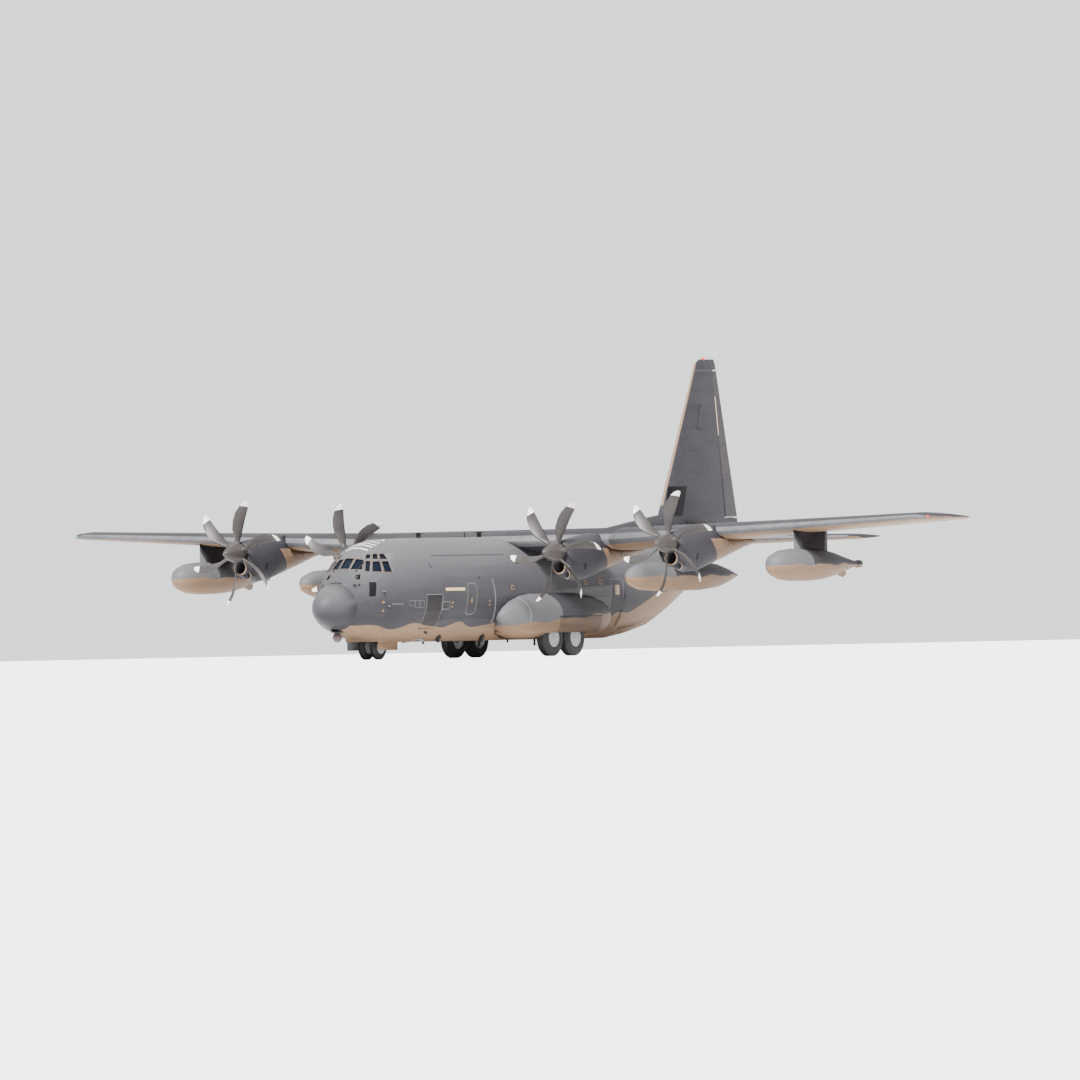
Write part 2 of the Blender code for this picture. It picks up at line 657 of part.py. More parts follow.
def make_flight_deck():
    y0, y1 = DECK_Y
    deck = place("flight_deck", body_solid("flight_deck", y0, y1, SKIN + DECK_EDGE), deck_paint())
    low = DECK_Z - DECK_THICK
    cut(deck, box_mesh("deck_below", (-3.0, 0.0, 0.0), (3.0, 6.0, low)))
    cut(deck, box_mesh("deck_above", (-3.0, 0.0, DECK_Z), (3.0, y1 - BULKHEAD, 6.0)))
    foot = NOSE_WELL[3] + NOSE_WELL_WALL + GAP
    half = DECK_POST / 2
    for x, y in DECK_POSTS:
        join(deck, box_mesh("post", (x - half, y - half, foot), (x + half, y + half, low + LAP)))
    half, top = DECK_DOOR
    cut(deck, box_mesh("deck_door", (-half, y1 - 2 * BULKHEAD, DECK_Z), (half, y1 + BULKHEAD, top)))
    wide, deep, cushion, back, back_thick = SEAT
    for x, y in SEATS:
        low_x = x - wide / 2
        high_x = x + wide / 2
        rear = y + deep
        seat_z = DECK_Z + cushion
        join(deck, box_mesh("seat", (low_x, y, DECK_Z - LAP), (high_x, rear, seat_z)))
        join(deck, box_mesh("seat_back", (low_x, rear - back_thick, seat_z - LAP), (high_x, rear, seat_z + back)))
    half, front, rear, panel_top = PANEL
    join(deck, box_mesh("panel", (-half, front, DECK_Z - LAP), (half, rear, panel_top)))
    half, front, rear, console_top = CONSOLE
    join(deck, box_mesh("console", (-half, front, DECK_Z - LAP), (half, rear, console_top)))


def sponson_ring(row, side):
    y, half, top, bottom = row
    ring = []
    for i in range(RING_POINTS):
        angle = math.tau * (i + 0.5) / RING_POINTS
        c = math.cos(angle)
        s = math.sin(angle)
        tall = top - SPONSON_WIDEST_Z if s > 0 else SPONSON_WIDEST_Z - bottom
        power = 2.2 if s > 0 else SPONSON_POWER
        x = SPONSON_CORE_X + (half - SPONSON_CORE_X) * math.copysign(abs(c) ** (2 / power), c)
        z = SPONSON_WIDEST_Z + tall * math.copysign(abs(s) ** (2 / power), s)
        ring.append((side * x, y, z))
    return ring


def make_sponsons():
    low_x, high_x, front, rear, roof = MAIN_WELL
    for name, side in both_sides():
        rings = [sponson_ring(row, side) for row in SPONSON]
        sponson = place(f"sponson_{name}", loft("sponson", rings), tan_paint())
        cut(sponson, body_bore("sponson_bore", 8.0, RAMP_Y - GAP))
        x0, x1 = sorted((side * low_x, side * high_x))
        cut(sponson, box_mesh("main_well", (x0, front, 0.0), (x1, rear, roof)))


def body_bore(name, start, end):
    """The constant body grown by the gap, without its flat belly."""
    segments = RING_POINTS
    rings = []
    for y in (start, end):
        angles = [math.tau * (i + 0.5) / segments for i in range(segments)]
        reach = BODY_RADIUS + GAP
        rings.append([(reach * math.cos(a), y, BODY_AXIS_Z + reach * math.sin(a)) for a in angles])
    return loft(name, rings)


def foil_half_thickness(at):
    """Half the thickness of a section at a part of its chord, for a thickness of one."""
    curve = 0.2969 * math.sqrt(at) - 0.1260 * at - 0.3516 * at**2 + 0.2843 * at**3 - 0.1036 * at**4
    return 5 * curve + 0.004


def foil_points(chord, thick, camber=CAMBER, grow=0.0):
    """Points of a section as distance aft and height, from the trailing edge over the top and back below."""
    steps = [(1 - math.cos(math.pi * i / FOIL_STEPS)) / 2 for i in range(FOIL_STEPS + 1)]
    upper = []
    lower = []
    for at in steps:
        mean = camber * 4 * at * (1 - at) * chord
        half = foil_half_thickness(at) * thick * chord + grow
        aft = at * chord + grow * (2 * at - 1)
        upper.append((aft, mean + half))
        lower.append((aft, mean - half))
    return list(reversed(upper)) + lower


def wing_row(x):
    """Leading-edge y and z, chord and thickness of the wing at a distance from the middle."""
    out = max(abs(x) - WING_KINK_X, 0.0)
    part = out / (WING_TIP_X - WING_KINK_X)
    chord = ROOT_CHORD + (TIP_CHORD - ROOT_CHORD) * part
    thick = ROOT_THICK + (TIP_THICK - ROOT_THICK) * part
    return WING_LE_Y + TIP_SWEEP * part, WING_LE_Z + out * math.tan(DIHEDRAL), chord, thick


def wing_ring(x, grow=0.0):
    le_y, le_z, chord, thick = wing_row(x)
    ring = []
    for aft, up in foil_points(chord, thick, grow=grow):
        y = le_y + aft * math.cos(INCIDENCE) + up * math.sin(INCIDENCE)
        z = le_z - aft * math.sin(INCIDENCE) + up * math.cos(INCIDENCE)
        ring.append((x, y, z))
    return ring


def wing_solid(name, grow=0.0, low=-WING_KINK_X, high=WING_KINK_X):
    return loft(name, [wing_ring(x, grow) for x in (low, high)])


def outer_wing(name, side, grow=0.0):
    """The outer panel grown by a gap, for what it is let into."""
    return loft(name, [wing_ring(side * x, grow) for x in OUTER_STATIONS_X])


def wing_hinge(x, at):
    """The point on the wing's mean line where a surface hangs, and the radius of the surface's nose there."""
    le_y, le_z, chord, thick = wing_row(x)
    aft = at * chord
    up = CAMBER * 4 * at * (1 - at) * chord
    radius = foil_half_thickness(at) * thick * chord
    y = le_y + aft * math.cos(INCIDENCE) + up * math.sin(INCIDENCE)
    z = le_z - aft * math.sin(INCIDENCE) + up * math.cos(INCIDENCE)
    return Vector((x, y, z)), radius


def cove(name, side, low, high, at):
    """The space behind a control surface's hinge line, open to the trailing edge."""
    rings = []
    for x in (low - SURFACE_END_GAP, high + SURFACE_END_GAP):
        hinge, radius = wing_hinge(x, at)
        front = hinge.y - radius - CLEAR
        rings.append(cove_ring(side * x, front, hinge.z))
    return loft(name, rings)


def cove_ring(x, front, z):
    """The outline of a cutter that takes all behind a front face, above and below a height."""
    rear = front + COVE_LENGTH
    low = z - COVE_REACH
    high = z + COVE_REACH
    return [(x, front, low), (x, rear, low), (x, rear, high), (x, front, high)]


def surface_ring(x, hinge, radius, tail_y, tail_z):
    """A surface's section: a half round nose about its hinge, running back to a thin edge."""
    run = Vector((0.0, tail_y - hinge.y, tail_z - hinge.z)).normalized()
    over = Vector((0.0, -run.z, run.y))
    ring = []
    for i in range(NOSE_ARC_STEPS + 1):
        angle = math.pi * i / NOSE_ARC_STEPS
        ring.append(hinge + radius * (math.cos(angle) * over - math.sin(angle) * run))
    tail = Vector((hinge.x, tail_y, tail_z))
    ring.append(tail - THIN_EDGE * over)
    ring.append(tail + THIN_EDGE * over)
    return [(x, point.y, point.z) for point in ring]


def wing_surface(name, side, low, high, at):
    """An aileron or flap whose origin is on its hinge line, with a pin at each end."""
    rings = []
    hinges = []
    for x in (low, high):
        hinge, radius = wing_hinge(x, at)
        le_y, le_z, chord, _ = wing_row(x)
        tail_y = le_y + chord * math.cos(INCIDENCE)
        tail_z = le_z - chord * math.sin(INCIDENCE)
        hinge.x = side * x
        hinges.append(hinge)
        rings.append(surface_ring(side * x, hinge, radius, tail_y, tail_z))
    middle = (hinges[0] + hinges[1]) / 2
    obj = place(name, loft(name, rings), grey_paint(), middle)
    join(obj, pin_mesh(hinges[0], hinges[1]))
    return obj


def pin_mesh(start, end, radius=HINGE_PIN):
    """A hinge pin reaching past both ends of a surface, almost to its neighbours."""
    along = (end - start).normalized()
    straight = max(abs(along.x), abs(along.z))
    tilt = math.sqrt(1 - straight**2)
    reach = (SURFACE_END_GAP - 1.3 * GAP - radius * tilt) / straight
    return rod_mesh("pin", start - along * reach, end + along * reach, radius, segments=12)


def make_wing():
    half = WING_KINK_X - GAP
    centre = place("wing_centre", wing_solid("wing_centre", 0.0, -half, half), grey_paint())
    for name, side in both_sides():
        low, high, at = INNER_FLAP
        cut(centre, cove("inner_cove", side, low, high, at))
        wing_surface(f"flap_inner_{name}", side, low, high, at)
        rings = [wing_ring(side * x) for x in OUTER_STATIONS_X]
        rings += [tip_ring(side, *row) for row in WING_TIP]
        outer = place(f"wing_{name}", loft("wing", rings), grey_paint())
        for (low, high, at), piece in ((OUTER_FLAP, "flap_outer"), (AILERON, "aileron")):
            cut(outer, cove(piece + "_cove", side, low, high, at))
            wing_surface(f"{piece}_{name}", side, low, high, at)


def tip_ring(side, x, chord_left, thick_left):
    """A section of the wing's rounded tip: the last full one drawn in toward its rear half."""
    ring = wing_ring(side * OUTER_STATIONS_X[-1])
    low_y = min(point[1] for point in ring)
    chord = max(point[1] for point in ring) - low_y
    keep_y = low_y + TIP_KEEP * chord
    middle_z = sum(point[2] for point in ring) / len(ring) + (x - OUTER_STATIONS_X[-1]) * math.tan(DIHEDRAL)
    points = []
    for _, y, z in ring:
        points.append((side * x, keep_y + (y - keep_y) * chord_left, middle_z + (z - middle_z) * thick_left))
    return points


def nacelle_ring(row, x, hub_z):
    y, half, above, below = row
    middle = (above - below) / 2
    tall = (above + below) / 2
    ring = []
    for i in range(NACELLE_POINTS):
        angle = math.tau * (i + 0.5) / NACELLE_POINTS
        c = math.cos(angle)
        s = math.sin(angle)
        wide = half * math.copysign(abs(c) ** (2 / NACELLE_POWER), c)
        up = tall * math.copysign(abs(s) ** (2 / NACELLE_POWER), s)
        ring.append((x + wide, y, hub_z + middle + up))
    return ring


def make_engines():
    radius, front, rear = ENGINE
    depth, mouth, mouth_y, mouth_end = INTAKE
    for number, x, hub_z, turn in ENGINES:
        rings = [nacelle_ring(row, x, hub_z) for row in NACELLE]
        nacelle = place(f"nacelle_{number}", loft("nacelle", rings), grey_paint())
        cut(nacelle, rod_mesh("engine_bay", (x, mouth_y, hub_z), (x, rear + GAP, hub_z), radius))
        cut(nacelle, rod_mesh("intake", (x, mouth_y, hub_z - depth), (x, mouth_end, hub_z - depth), mouth))
        side = 1 if x > 0 else -1
        if abs(x) < WING_KINK_X:
            cut(nacelle, wing_solid("nacelle_notch", GAP))
        else:
            cut(nacelle, outer_wing("nacelle_notch", side, GAP))
        block = rod_mesh("engine", (x, front, hub_z), (x, rear, hub_z), radius - GAP)
        place(f"engine_{number}", block, gear_steel())
        make_propeller(number, x, hub_z, turn)


def blade_ring(row, turn):
    """A blade's section: a thin lens across the chord, at its angle from the disc."""
    radius, chord, thick, angle, sweep = row
    pitch = math.radians(angle)
    spin = math.radians(turn)
    out = Vector((-math.cos(spin), 0.0, math.sin(spin)))
    ahead = Vector((-math.sin(spin), 0.0, -math.cos(spin)))
    lead = ahead * math.cos(pitch) + Vector((0.0, -1.0, 0.0)) * math.sin(pitch)
    face = ahead * math.sin(pitch) + Vector((0.0, 1.0, 0.0)) * math.cos(pitch)
    ring = []
    for i in range(BLADE_POINTS):
        at = math.tau * i / BLADE_POINTS
        across = lead * (chord / 2 * math.cos(at)) + face * (thick / 2 * math.sin(at))
        ring.append(out * radius - ahead * sweep + across)
    return ring


def make_propeller(number, x, hub_z, turn):
    pivot = (x, PROP_Y, hub_z)
    spinner = turned_mesh("propeller", SPINNER, (x, hub_z))
    propeller = place(f"propeller_{number}", spinner, blade_paint(), pivot)
    base = SPINNER[-1][0] - LAP
    shaft = rod_mesh("shaft", (x, base, hub_z), (x, ENGINE[1] - GAP, hub_z), SHAFT_RADIUS, segments=16)
    join(propeller, shaft)
    for i in range(BLADES):
        rings = [blade_ring(row, turn + 360 * i / BLADES) for row in BLADE]
        join(propeller, loft("blade", [[Vector(pivot) + point for point in ring] for ring in rings]))


def store_with_pylon(name, x, z, rows, pylon, mat):
    """A tank or pod under the wing, with the pylon that carries it, cut where the wing sits on it."""
    store = place(name, turned_mesh(name, rows, (x, z)), mat)
    front, rear, width = pylon
    wing_z = wing_hinge(abs(x), 0.5)[0].z
    left = x + width / 2
    right = x - width / 2
    y0 = front + PYLON_TAPER
    y1 = rear - PYLON_TAPER
    outline = ((x, front), (left, y0), (left, y1), (x, rear), (right, y1), (right, y0))
    join(store, prism_z("pylon", outline, z + PYLON_FOOT, wing_z))
    side = 1 if x > 0 else -1
    cut(store, outer_wing("pylon_notch", side, GAP))
    return store


def make_stores():
    for name, side in both_sides():
        store_with_pylon(f"tank_{name}", side * TANK_X, TANK_Z, TANK, TANK_PYLON, tan_paint())
        pod = store_with_pylon(f"pod_{name}", side * POD_X, POD_Z, POD, POD_PYLON, tan_paint())
        front, rear, depth, radius = POD_BULGE
        x = side * POD_X
        join(pod, rod_mesh("pod_bulge", (x, front, POD_Z - depth / 2), (x, rear, POD_Z - depth), radius))


def tailplane_ring(x, le_y, chord, thick, grow=0.0):
    points = foil_points(chord, thick, 0.0, grow)
    return [(x, le_y + aft, TAILPLANE_Z + up) for aft, up in points]


def tailplane_solid(name, grow=0.0):
    rows = [(-x, *rest) for x, *rest in reversed(TAILPLANE[1:])] + list(TAILPLANE)
    return loft(name, [tailplane_ring(*row, grow) for row in rows])


def tail_hinge(x, at):
    _, le_y, chord, thick = between(TAILPLANE, x)
    hinge = Vector((x, le_y + at * chord, TAILPLANE_Z))
    return hinge, foil_half_thickness(at) * thick * chord, le_y + chord


def make_tailplane():
    tailplane = place("tailplane", tailplane_solid("tailplane"), tail_paint())
    low, high, at = ELEVATOR
    for name, side in both_sides():
        coves = []
        rings = []
        hinges = []
        for x, edge in ((low, low - SURFACE_END_GAP), (high, high + SURFACE_END_GAP)):
            hinge, radius, _ = tail_hinge(edge, at)
            front = hinge.y - radius - CLEAR
            coves.append(cove_ring(side * edge, front, TAILPLANE_Z))
            hinge, radius, tail_y = tail_hinge(x, at)
            hinge.x = side * x
            hinges.append(hinge)
            rings.append(surface_ring(side * x, hinge, radius, tail_y, TAILPLANE_Z))
        cut(tailplane, loft("elevator_cove", coves))
        middle = (hinges[0] + hinges[1]) / 2
        elevator = place(f"elevator_{name}", loft("elevator", rings), tail_paint(), middle)
        join(elevator, pin_mesh(hinges[0], hinges[1]))


def fin_ring(row):
    z, le_y, chord, thick = row
    return [(up, le_y + aft, z) for aft, up in foil_points(chord, thick, 0.0)]


def rudder_hinge(z):
    (low_y, low_z), (high_y, high_z) = RUDDER_HINGE
    y = low_y + (high_y - low_y) * (z - low_z) / (high_z - low_z)
    _, le_y, chord, thick = between(FIN, z)
    radius = foil_half_thickness((y - le_y) / chord) * thick * chord
    return Vector((0.0, y, z)), radius, le_y + chord


def make_fin():
    fin = place("fin", loft("fin", [fin_ring(row) for row in FIN]), tail_paint())
    rings = []
    for y, half, top in DORSAL:
        shoulder = top - half
        foot = [(-half, y, DORSAL_FOOT_Z), (half, y, DORSAL_FOOT_Z)]
        rings.append([*foot, (half, y, shoulder), (half / 2, y, top), (-half / 2, y, top), (-half, y, shoulder)])
    join(fin, loft("dorsal", rings))
    cut(fin, loft("fin_notch", body_rings(RAMP_Y, TAIL_Y, -2 * GAP)))
    low, high = RUDDER
    coves = []
    sections = []
    hinges = []
    for z, edge in ((low, low - SURFACE_END_GAP), (high, high + SURFACE_END_GAP)):
        hinge, radius, _ = rudder_hinge(edge)
        front = hinge.y - radius - CLEAR
        rear = front + COVE_LENGTH
        reach = COVE_REACH
        coves.append([(-reach, front, edge), (reach, front, edge), (reach, rear, edge), (-reach, rear, edge)])
        hinge, radius, tail_y = rudder_hinge(z)
        hinges.append(hinge)
        arcs = []
        for i in range(NOSE_ARC_STEPS + 1):
            angle = math.pi * i / NOSE_ARC_STEPS
            arcs.append((radius * math.cos(angle), hinge.y - radius * math.sin(angle), z))
        sections.append([*arcs, (-THIN_EDGE, tail_y, z), (THIN_EDGE, tail_y, z)])
    cut(fin, loft("rudder_cove", coves))
    rudder = place("rudder", loft("rudder", sections), tail_paint(), (hinges[0] + hinges[1]) / 2)
    join(rudder, pin_mesh(hinges[0], hinges[1]))


def wheel_rows(middle, radius, width, bore):
    """Profile of a tyre round its own axle, as distance along the axle and radius."""
    half = width / 2
    side = [(half - inset, radius - drop) for inset, drop in TYRE_SHOULDER]
    side += [(half - inset, bore + rise) for inset, rise in TYRE_BEAD]
    return [(-along, reach) for along, reach in reversed(side)] + side


def tyre_mesh(name, x, y, radius, width, bore):
    """A closed ring of rubber about an axle along X."""
    rings = []
    for along, reach in wheel_rows(x, radius, width, bore):
        angles = [math.tau * i / ROUND for i in range(ROUND)]
        rings.append([(x + along, y + reach * math.cos(a), radius + reach * math.sin(a)) for a in angles])
    return loft(name, rings, looped=True)


def make_nose_gear():
    radius, width, reach = NOSE_TYRE
    y = NOSE_GEAR_Y
    roof = NOSE_WELL[3]
    hub = (0, y, radius)
    split, foot, fork_radius = NOSE_FORK
    place("nose_leg", rod_mesh("nose_leg", (0, y, split), (0, y, roof - GAP), NOSE_LEG_RADIUS), gear_steel())
    tube = rod_mesh("nose_fork", (0, y, radius - foot), (0, y, split - GAP), fork_radius)
    fork = place("nose_fork", tube, gear_steel(), hub)
    cut(fork, rod_mesh("fork_bore", (-reach, y, radius), (reach, y, radius), HUB_BORE))
    axle = rod_mesh("nose_axle", (-reach, y, radius), (reach, y, radius), AXLE)
    rims = place("nose_rims", axle, rim_paint(), hub)
    rim_half = width / 2 - NOSE_RIM_INSET
    for name, side in both_sides():
        x = side * reach
        join(rims, rod_mesh("nose_rim", (x - rim_half, y, radius), (x + rim_half, y, radius), NOSE_RIM_RADIUS - GAP))
        tyre = tyre_mesh("nose_tyre", x, y, radius, width, NOSE_RIM_RADIUS)
        place(f"nose_tyre_{name}", tyre, tyre_rubber(), hub)


def make_main_gear():
    radius, width = MAIN_TYRE
    half = width / 2
    rim_half = half - MAIN_RIM_INSET
    roof = MAIN_WELL[4]
    arm_half, arm_foot = MAIN_ARM
    beam_low, beam_high = MAIN_BEAM
    for name, side in both_sides():
        x0, x1 = sorted(side * x for x in ARM_X)
        legs = None
        for end, label in ((-1, "front"), (1, "rear")):
            y = MAIN_GEAR_Y + end * MAIN_WHEEL_REACH
            x = side * MAIN_WHEEL_X
            hub = (x, y, radius)
            arm = box_mesh("gear_arm", (x0, y - arm_half, radius - arm_foot), (x1, y + arm_half, roof - GAP))
            if legs is None:
                legs = place(f"main_gear_legs_{name}", arm, gear_steel())
            else:
                join(legs, arm)
            stub_x = side * (MAIN_WHEEL_X + half - STUB_INSET)
            join(legs, rod_mesh("axle", (side * (ARM_X[0] + LAP / 2), y, radius), (stub_x, y, radius), AXLE))
            disc = rod_mesh("main_rim", (x - rim_half, y, radius), (x + rim_half, y, radius), MAIN_RIM_RADIUS - GAP)
            rim = place(f"main_rim_{name}_{label}", disc, rim_paint(), hub)
            cut(rim, rod_mesh("hub_bore", (x - side * half, y, radius), (stub_x + side * GAP, y, radius), HUB_BORE))
            tyre = tyre_mesh("main_tyre", x, y, radius, width, MAIN_RIM_RADIUS)
            place(f"main_tyre_{name}_{label}", tyre, tyre_rubber(), hub)
        low = (x0, MAIN_GEAR_Y - MAIN_WHEEL_REACH, roof - beam_low)
        join(legs, box_mesh("gear_beam", low, (x1, MAIN_GEAR_Y + MAIN_WHEEL_REACH, roof - beam_high)))


def make_turret():
    y, z, radius = TURRET
    neck, below = TURRET_NECK
    low = z + radius - below
    top = between(BODY, y + neck)[5] - GAP
    pivot = (0.0, y, low)
    tube = rod_mesh("turret_neck", (0, y, low), (0, y, top), neck)
    turret = place("sensor_turret", tube, gear_steel(), pivot)
    bm = bmesh.new()
    bmesh.ops.create_uvsphere(bm, u_segments=16, v_segments=8, radius=radius)
    bm.transform(Matrix.Translation((0.0, y, z)))
    join(turret, finish_mesh(bm, "turret_ball"))


def build():
    make_radome()
    make_nose()
    make_glazing()
    make_crew_door()
    make_centre()
    make_paratroop_doors()
    make_aft()
    make_ramp()
    make_cargo_door()
    make_cargo_floor()
    make_flight_deck()
    make_sponsons()
    make_wing()
    make_engines()
    make_stores()
    make_tailplane()
    make_fin()
    make_nose_gear()
    make_main_gear()
    make_turret()


clear_scene()
PARTS = new_collection(ALL)
CUTTERS = new_collection("cutters")
CUTTERS.hide_render = True
ROOT = bpy.data.objects.new("root", None)
PARTS.objects.link(ROOT)
ROOT.scale = (SCALE, SCALE, SCALE)
ROOT.location = (0.0, -SCALE * LENGTH / 2, 0.0)
build()
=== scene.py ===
"""Military transport plane on its wheels: paint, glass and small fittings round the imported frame."""

import json
import math

import bmesh
import bpy
from mathutils import Matrix, Vector
from mathutils.bvhtree import BVHTree

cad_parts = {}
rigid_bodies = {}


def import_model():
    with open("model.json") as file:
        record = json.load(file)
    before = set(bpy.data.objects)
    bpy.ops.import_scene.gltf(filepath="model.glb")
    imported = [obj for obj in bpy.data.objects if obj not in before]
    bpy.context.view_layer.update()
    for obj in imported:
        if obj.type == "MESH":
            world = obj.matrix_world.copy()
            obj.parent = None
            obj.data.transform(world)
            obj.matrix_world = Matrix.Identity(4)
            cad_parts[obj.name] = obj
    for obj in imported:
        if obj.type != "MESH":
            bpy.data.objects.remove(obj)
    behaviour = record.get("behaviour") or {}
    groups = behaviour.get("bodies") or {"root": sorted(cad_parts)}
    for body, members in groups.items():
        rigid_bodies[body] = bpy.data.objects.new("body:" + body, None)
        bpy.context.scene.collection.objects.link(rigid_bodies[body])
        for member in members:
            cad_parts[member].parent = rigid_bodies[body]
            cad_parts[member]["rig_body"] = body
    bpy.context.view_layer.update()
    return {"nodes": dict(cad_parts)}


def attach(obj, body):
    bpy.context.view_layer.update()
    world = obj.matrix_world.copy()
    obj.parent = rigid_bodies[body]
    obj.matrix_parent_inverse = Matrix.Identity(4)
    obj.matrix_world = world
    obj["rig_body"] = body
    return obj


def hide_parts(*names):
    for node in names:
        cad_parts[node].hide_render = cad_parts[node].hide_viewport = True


bl_info = {
    "name": "Transport plane finish",
    "version": (1, 0, 0),
    "blender": (4, 5, 0),
    "location": "3D View > Sidebar > Plane",
    "description": "Dresses a four-engined transport plane and sets it in a plain studio",
    "category": "Object",
}

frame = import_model()

HALF_SIZE = 0.5  # the model is built at 1:2
MIDDLE_STATION = 14.895  # real metres from the nose's tip to the frame's origin
AIRFRAME = "airframe"
SIDES = (("left", 1), ("right", -1))
AFT = Vector((0.0, 1.0, 0.0))
UP = Vector((0.0, 0.0, 1.0))


def at(x, y, z):
    """A place on the real plane, in metres from the nose's tip, as a point of the model."""
    return Vector((x * HALF_SIZE, (y - MIDDLE_STATION) * HALF_SIZE, z * HALF_SIZE))


def real(value):
    """A real length as a length of the model."""
    return value * HALF_SIZE


def station(y):
    return (y - MIDDLE_STATION) * HALF_SIZE


def by(operation):
    """A method that feeds its value and another one to a Math node."""
    return lambda self, other: self.nodes.math(operation, self, other)


class Value:
    """An output in a node tree, for use in sums, products and comparisons."""

    __add__ = by("ADD")
    __sub__ = by("SUBTRACT")
    __mul__ = by("MULTIPLY")
    __truediv__ = by("DIVIDE")
    __pow__ = by("POWER")
    __gt__ = by("GREATER_THAN")
    __lt__ = by("LESS_THAN")
    most = by("MAXIMUM")

    def __init__(self, nodes, socket):
        self.nodes = nodes
        self.socket = socket

    def __rsub__(self, other):
        return self.nodes.math("SUBTRACT", other, self)

    def __abs__(self):
        return self.nodes.math("ABSOLUTE", self)


class Nodes:
    """A short way of writing a node tree: each call adds a node and returns its output."""

    def __init__(self, tree):
        self.tree = tree

    def add(self, kind, **settings):
        node = self.tree.nodes.new(kind)
        for key, value in settings.items():
            setattr(node, key, value)
        return node

    def feed(self, socket, value):
        if isinstance(value, Value):
            self.tree.links.new(value.socket, socket)
        else:
            socket.default_value = value

    def fed(self, kind, given, output=0, **settings):
        """Adds a node, feeds its inputs, named by their key or place, and returns one output."""
        node = self.add(kind, **settings)
        for key, value in given.items():
            self.feed(node.inputs[key], value)
        return Value(self, node.outputs[output])

    def math(self, operation, *given):
        return self.fed("ShaderNodeMath", dict(enumerate(given)), operation=operation)

    def split(self, vector):
        node = self.add("ShaderNodeSeparateXYZ")
        self.feed(node.inputs[0], vector)
        return [Value(self, socket) for socket in node.outputs]

    def join(self, *given):
        return self.fed("ShaderNodeCombineXYZ", dict(enumerate(given)))

    def mix(self, factor, first, second):
        return self.fed("ShaderNodeMix", {0: factor, 6: first, 7: second}, 2, data_type="RGBA", clamp_factor=True)

    def noise(self, vector, scale, detail=3.0, roughness=0.55):
        given = {"Vector": vector, "Scale": scale, "Detail": detail, "Roughness": roughness}
        return self.fed("ShaderNodeTexNoise", given, "Fac")

    def ramp(self, value, low, high):
        return self.fed("ShaderNodeMapRange", dict(enumerate((value, low, high, 0.0, 1.0))), clamp=True)

    def place(self):
        return self.fed("ShaderNodeTexCoord", {}, "Object")

    def group(self, name, **inputs):
        node = self.add("ShaderNodeGroup", node_tree=bpy.data.node_groups[name])
        for key, value in inputs.items():
            self.feed(node.inputs[key.replace("_", " ")], value)
        return {key: Value(self, socket) for key, socket in node.outputs.items()}


def new_group(name, floats, outputs, place=True):
    """A node group with a place, floats of these values and float outputs, ready for its nodes."""
    tree = bpy.data.node_groups.new(name, "ShaderNodeTree")
    if place:
        tree.interface.new_socket(name="Place", in_out="INPUT", socket_type="NodeSocketVector")
    for key, value in floats.items():
        tree.interface.new_socket(name=key, in_out="INPUT", socket_type="NodeSocketFloat").default_value = value
    for key in outputs:
        tree.interface.new_socket(name=key, in_out="OUTPUT", socket_type="NodeSocketFloat")
    nodes = Nodes(tree)
    sockets = nodes.add("NodeGroupInput").outputs
    given = {key: Value(nodes, socket) for key, socket in sockets.items() if key}
    return nodes, given, nodes.add("NodeGroupOutput").inputs


def make_split_group():
    """A mask that is one above a wavy, slightly ragged line along the plane."""
    floats = {"Height": 0.64, "Rise From": 1.0, "Rise": 0.27, "Wave": 0.04, "Wavelength": 1.3, "Phase": 0.0}
    nodes, given, out = new_group("wavy_split", floats, ["Above"])
    _, y, z = nodes.split(given["Place"])
    turn = nodes.math("MULTIPLY_ADD", y / given["Wavelength"], math.tau, given["Phase"])
    wave = nodes.math("SINE", turn) * given["Wave"]
    second = nodes.math("SINE", turn * 1.73) * (given["Wave"] * 0.4)
    rise = (y - given["Rise From"]).most(0.0) * given["Rise"]
    line = (given["Height"] + rise) + (wave + second)
    ragged = (nodes.noise(given["Place"], 9.0) - 0.5) * 0.012
    nodes.feed(out["Above"], nodes.ramp((z + ragged) - line, -0.008, 0.008))


def make_weather_group():
    """Soft cloudy patches, fine grain and streaks that run down or aft, from zero to one."""
    nodes, given, out = new_group("weathering", {"Scale": 1.0}, ["Patches", "Grain", "Streaks"])
    scaled = nodes.fed("ShaderNodeVectorMath", {0: given["Place"], "Scale": given["Scale"]}, operation="SCALE")
    x, y, z = nodes.split(scaled)
    aft = nodes.join(x * 5.0, y * 0.5, z * 5.0)
    nodes.feed(out["Patches"], nodes.noise(scaled, 1.4, 4.0))
    nodes.feed(out["Grain"], nodes.noise(scaled, 60.0, 2.0))
    nodes.feed(out["Streaks"], nodes.ramp(nodes.noise(aft, 2.2, 5.0, 0.65), 0.48, 0.72))


def make_lines_group():
    """Thin lines at even steps along one value, such as the seams between skin panels."""
    floats = {"Along": 0.0, "Step": 0.5, "Width": 0.004, "Shift": 0.0}
    nodes, given, out = new_group("seam_lines", floats, ["Line"], False)
    moved = (given["Along"] + given["Shift"]) / given["Step"]
    away = (0.5 - abs(nodes.math("FRACT", moved) - 0.5)) * given["Step"]
    nodes.feed(out["Line"], 1.0 - nodes.ramp(away, 0.0, given["Width"]))


MARK_BLUR = 0.0015  # half the soft edge of a painted mark


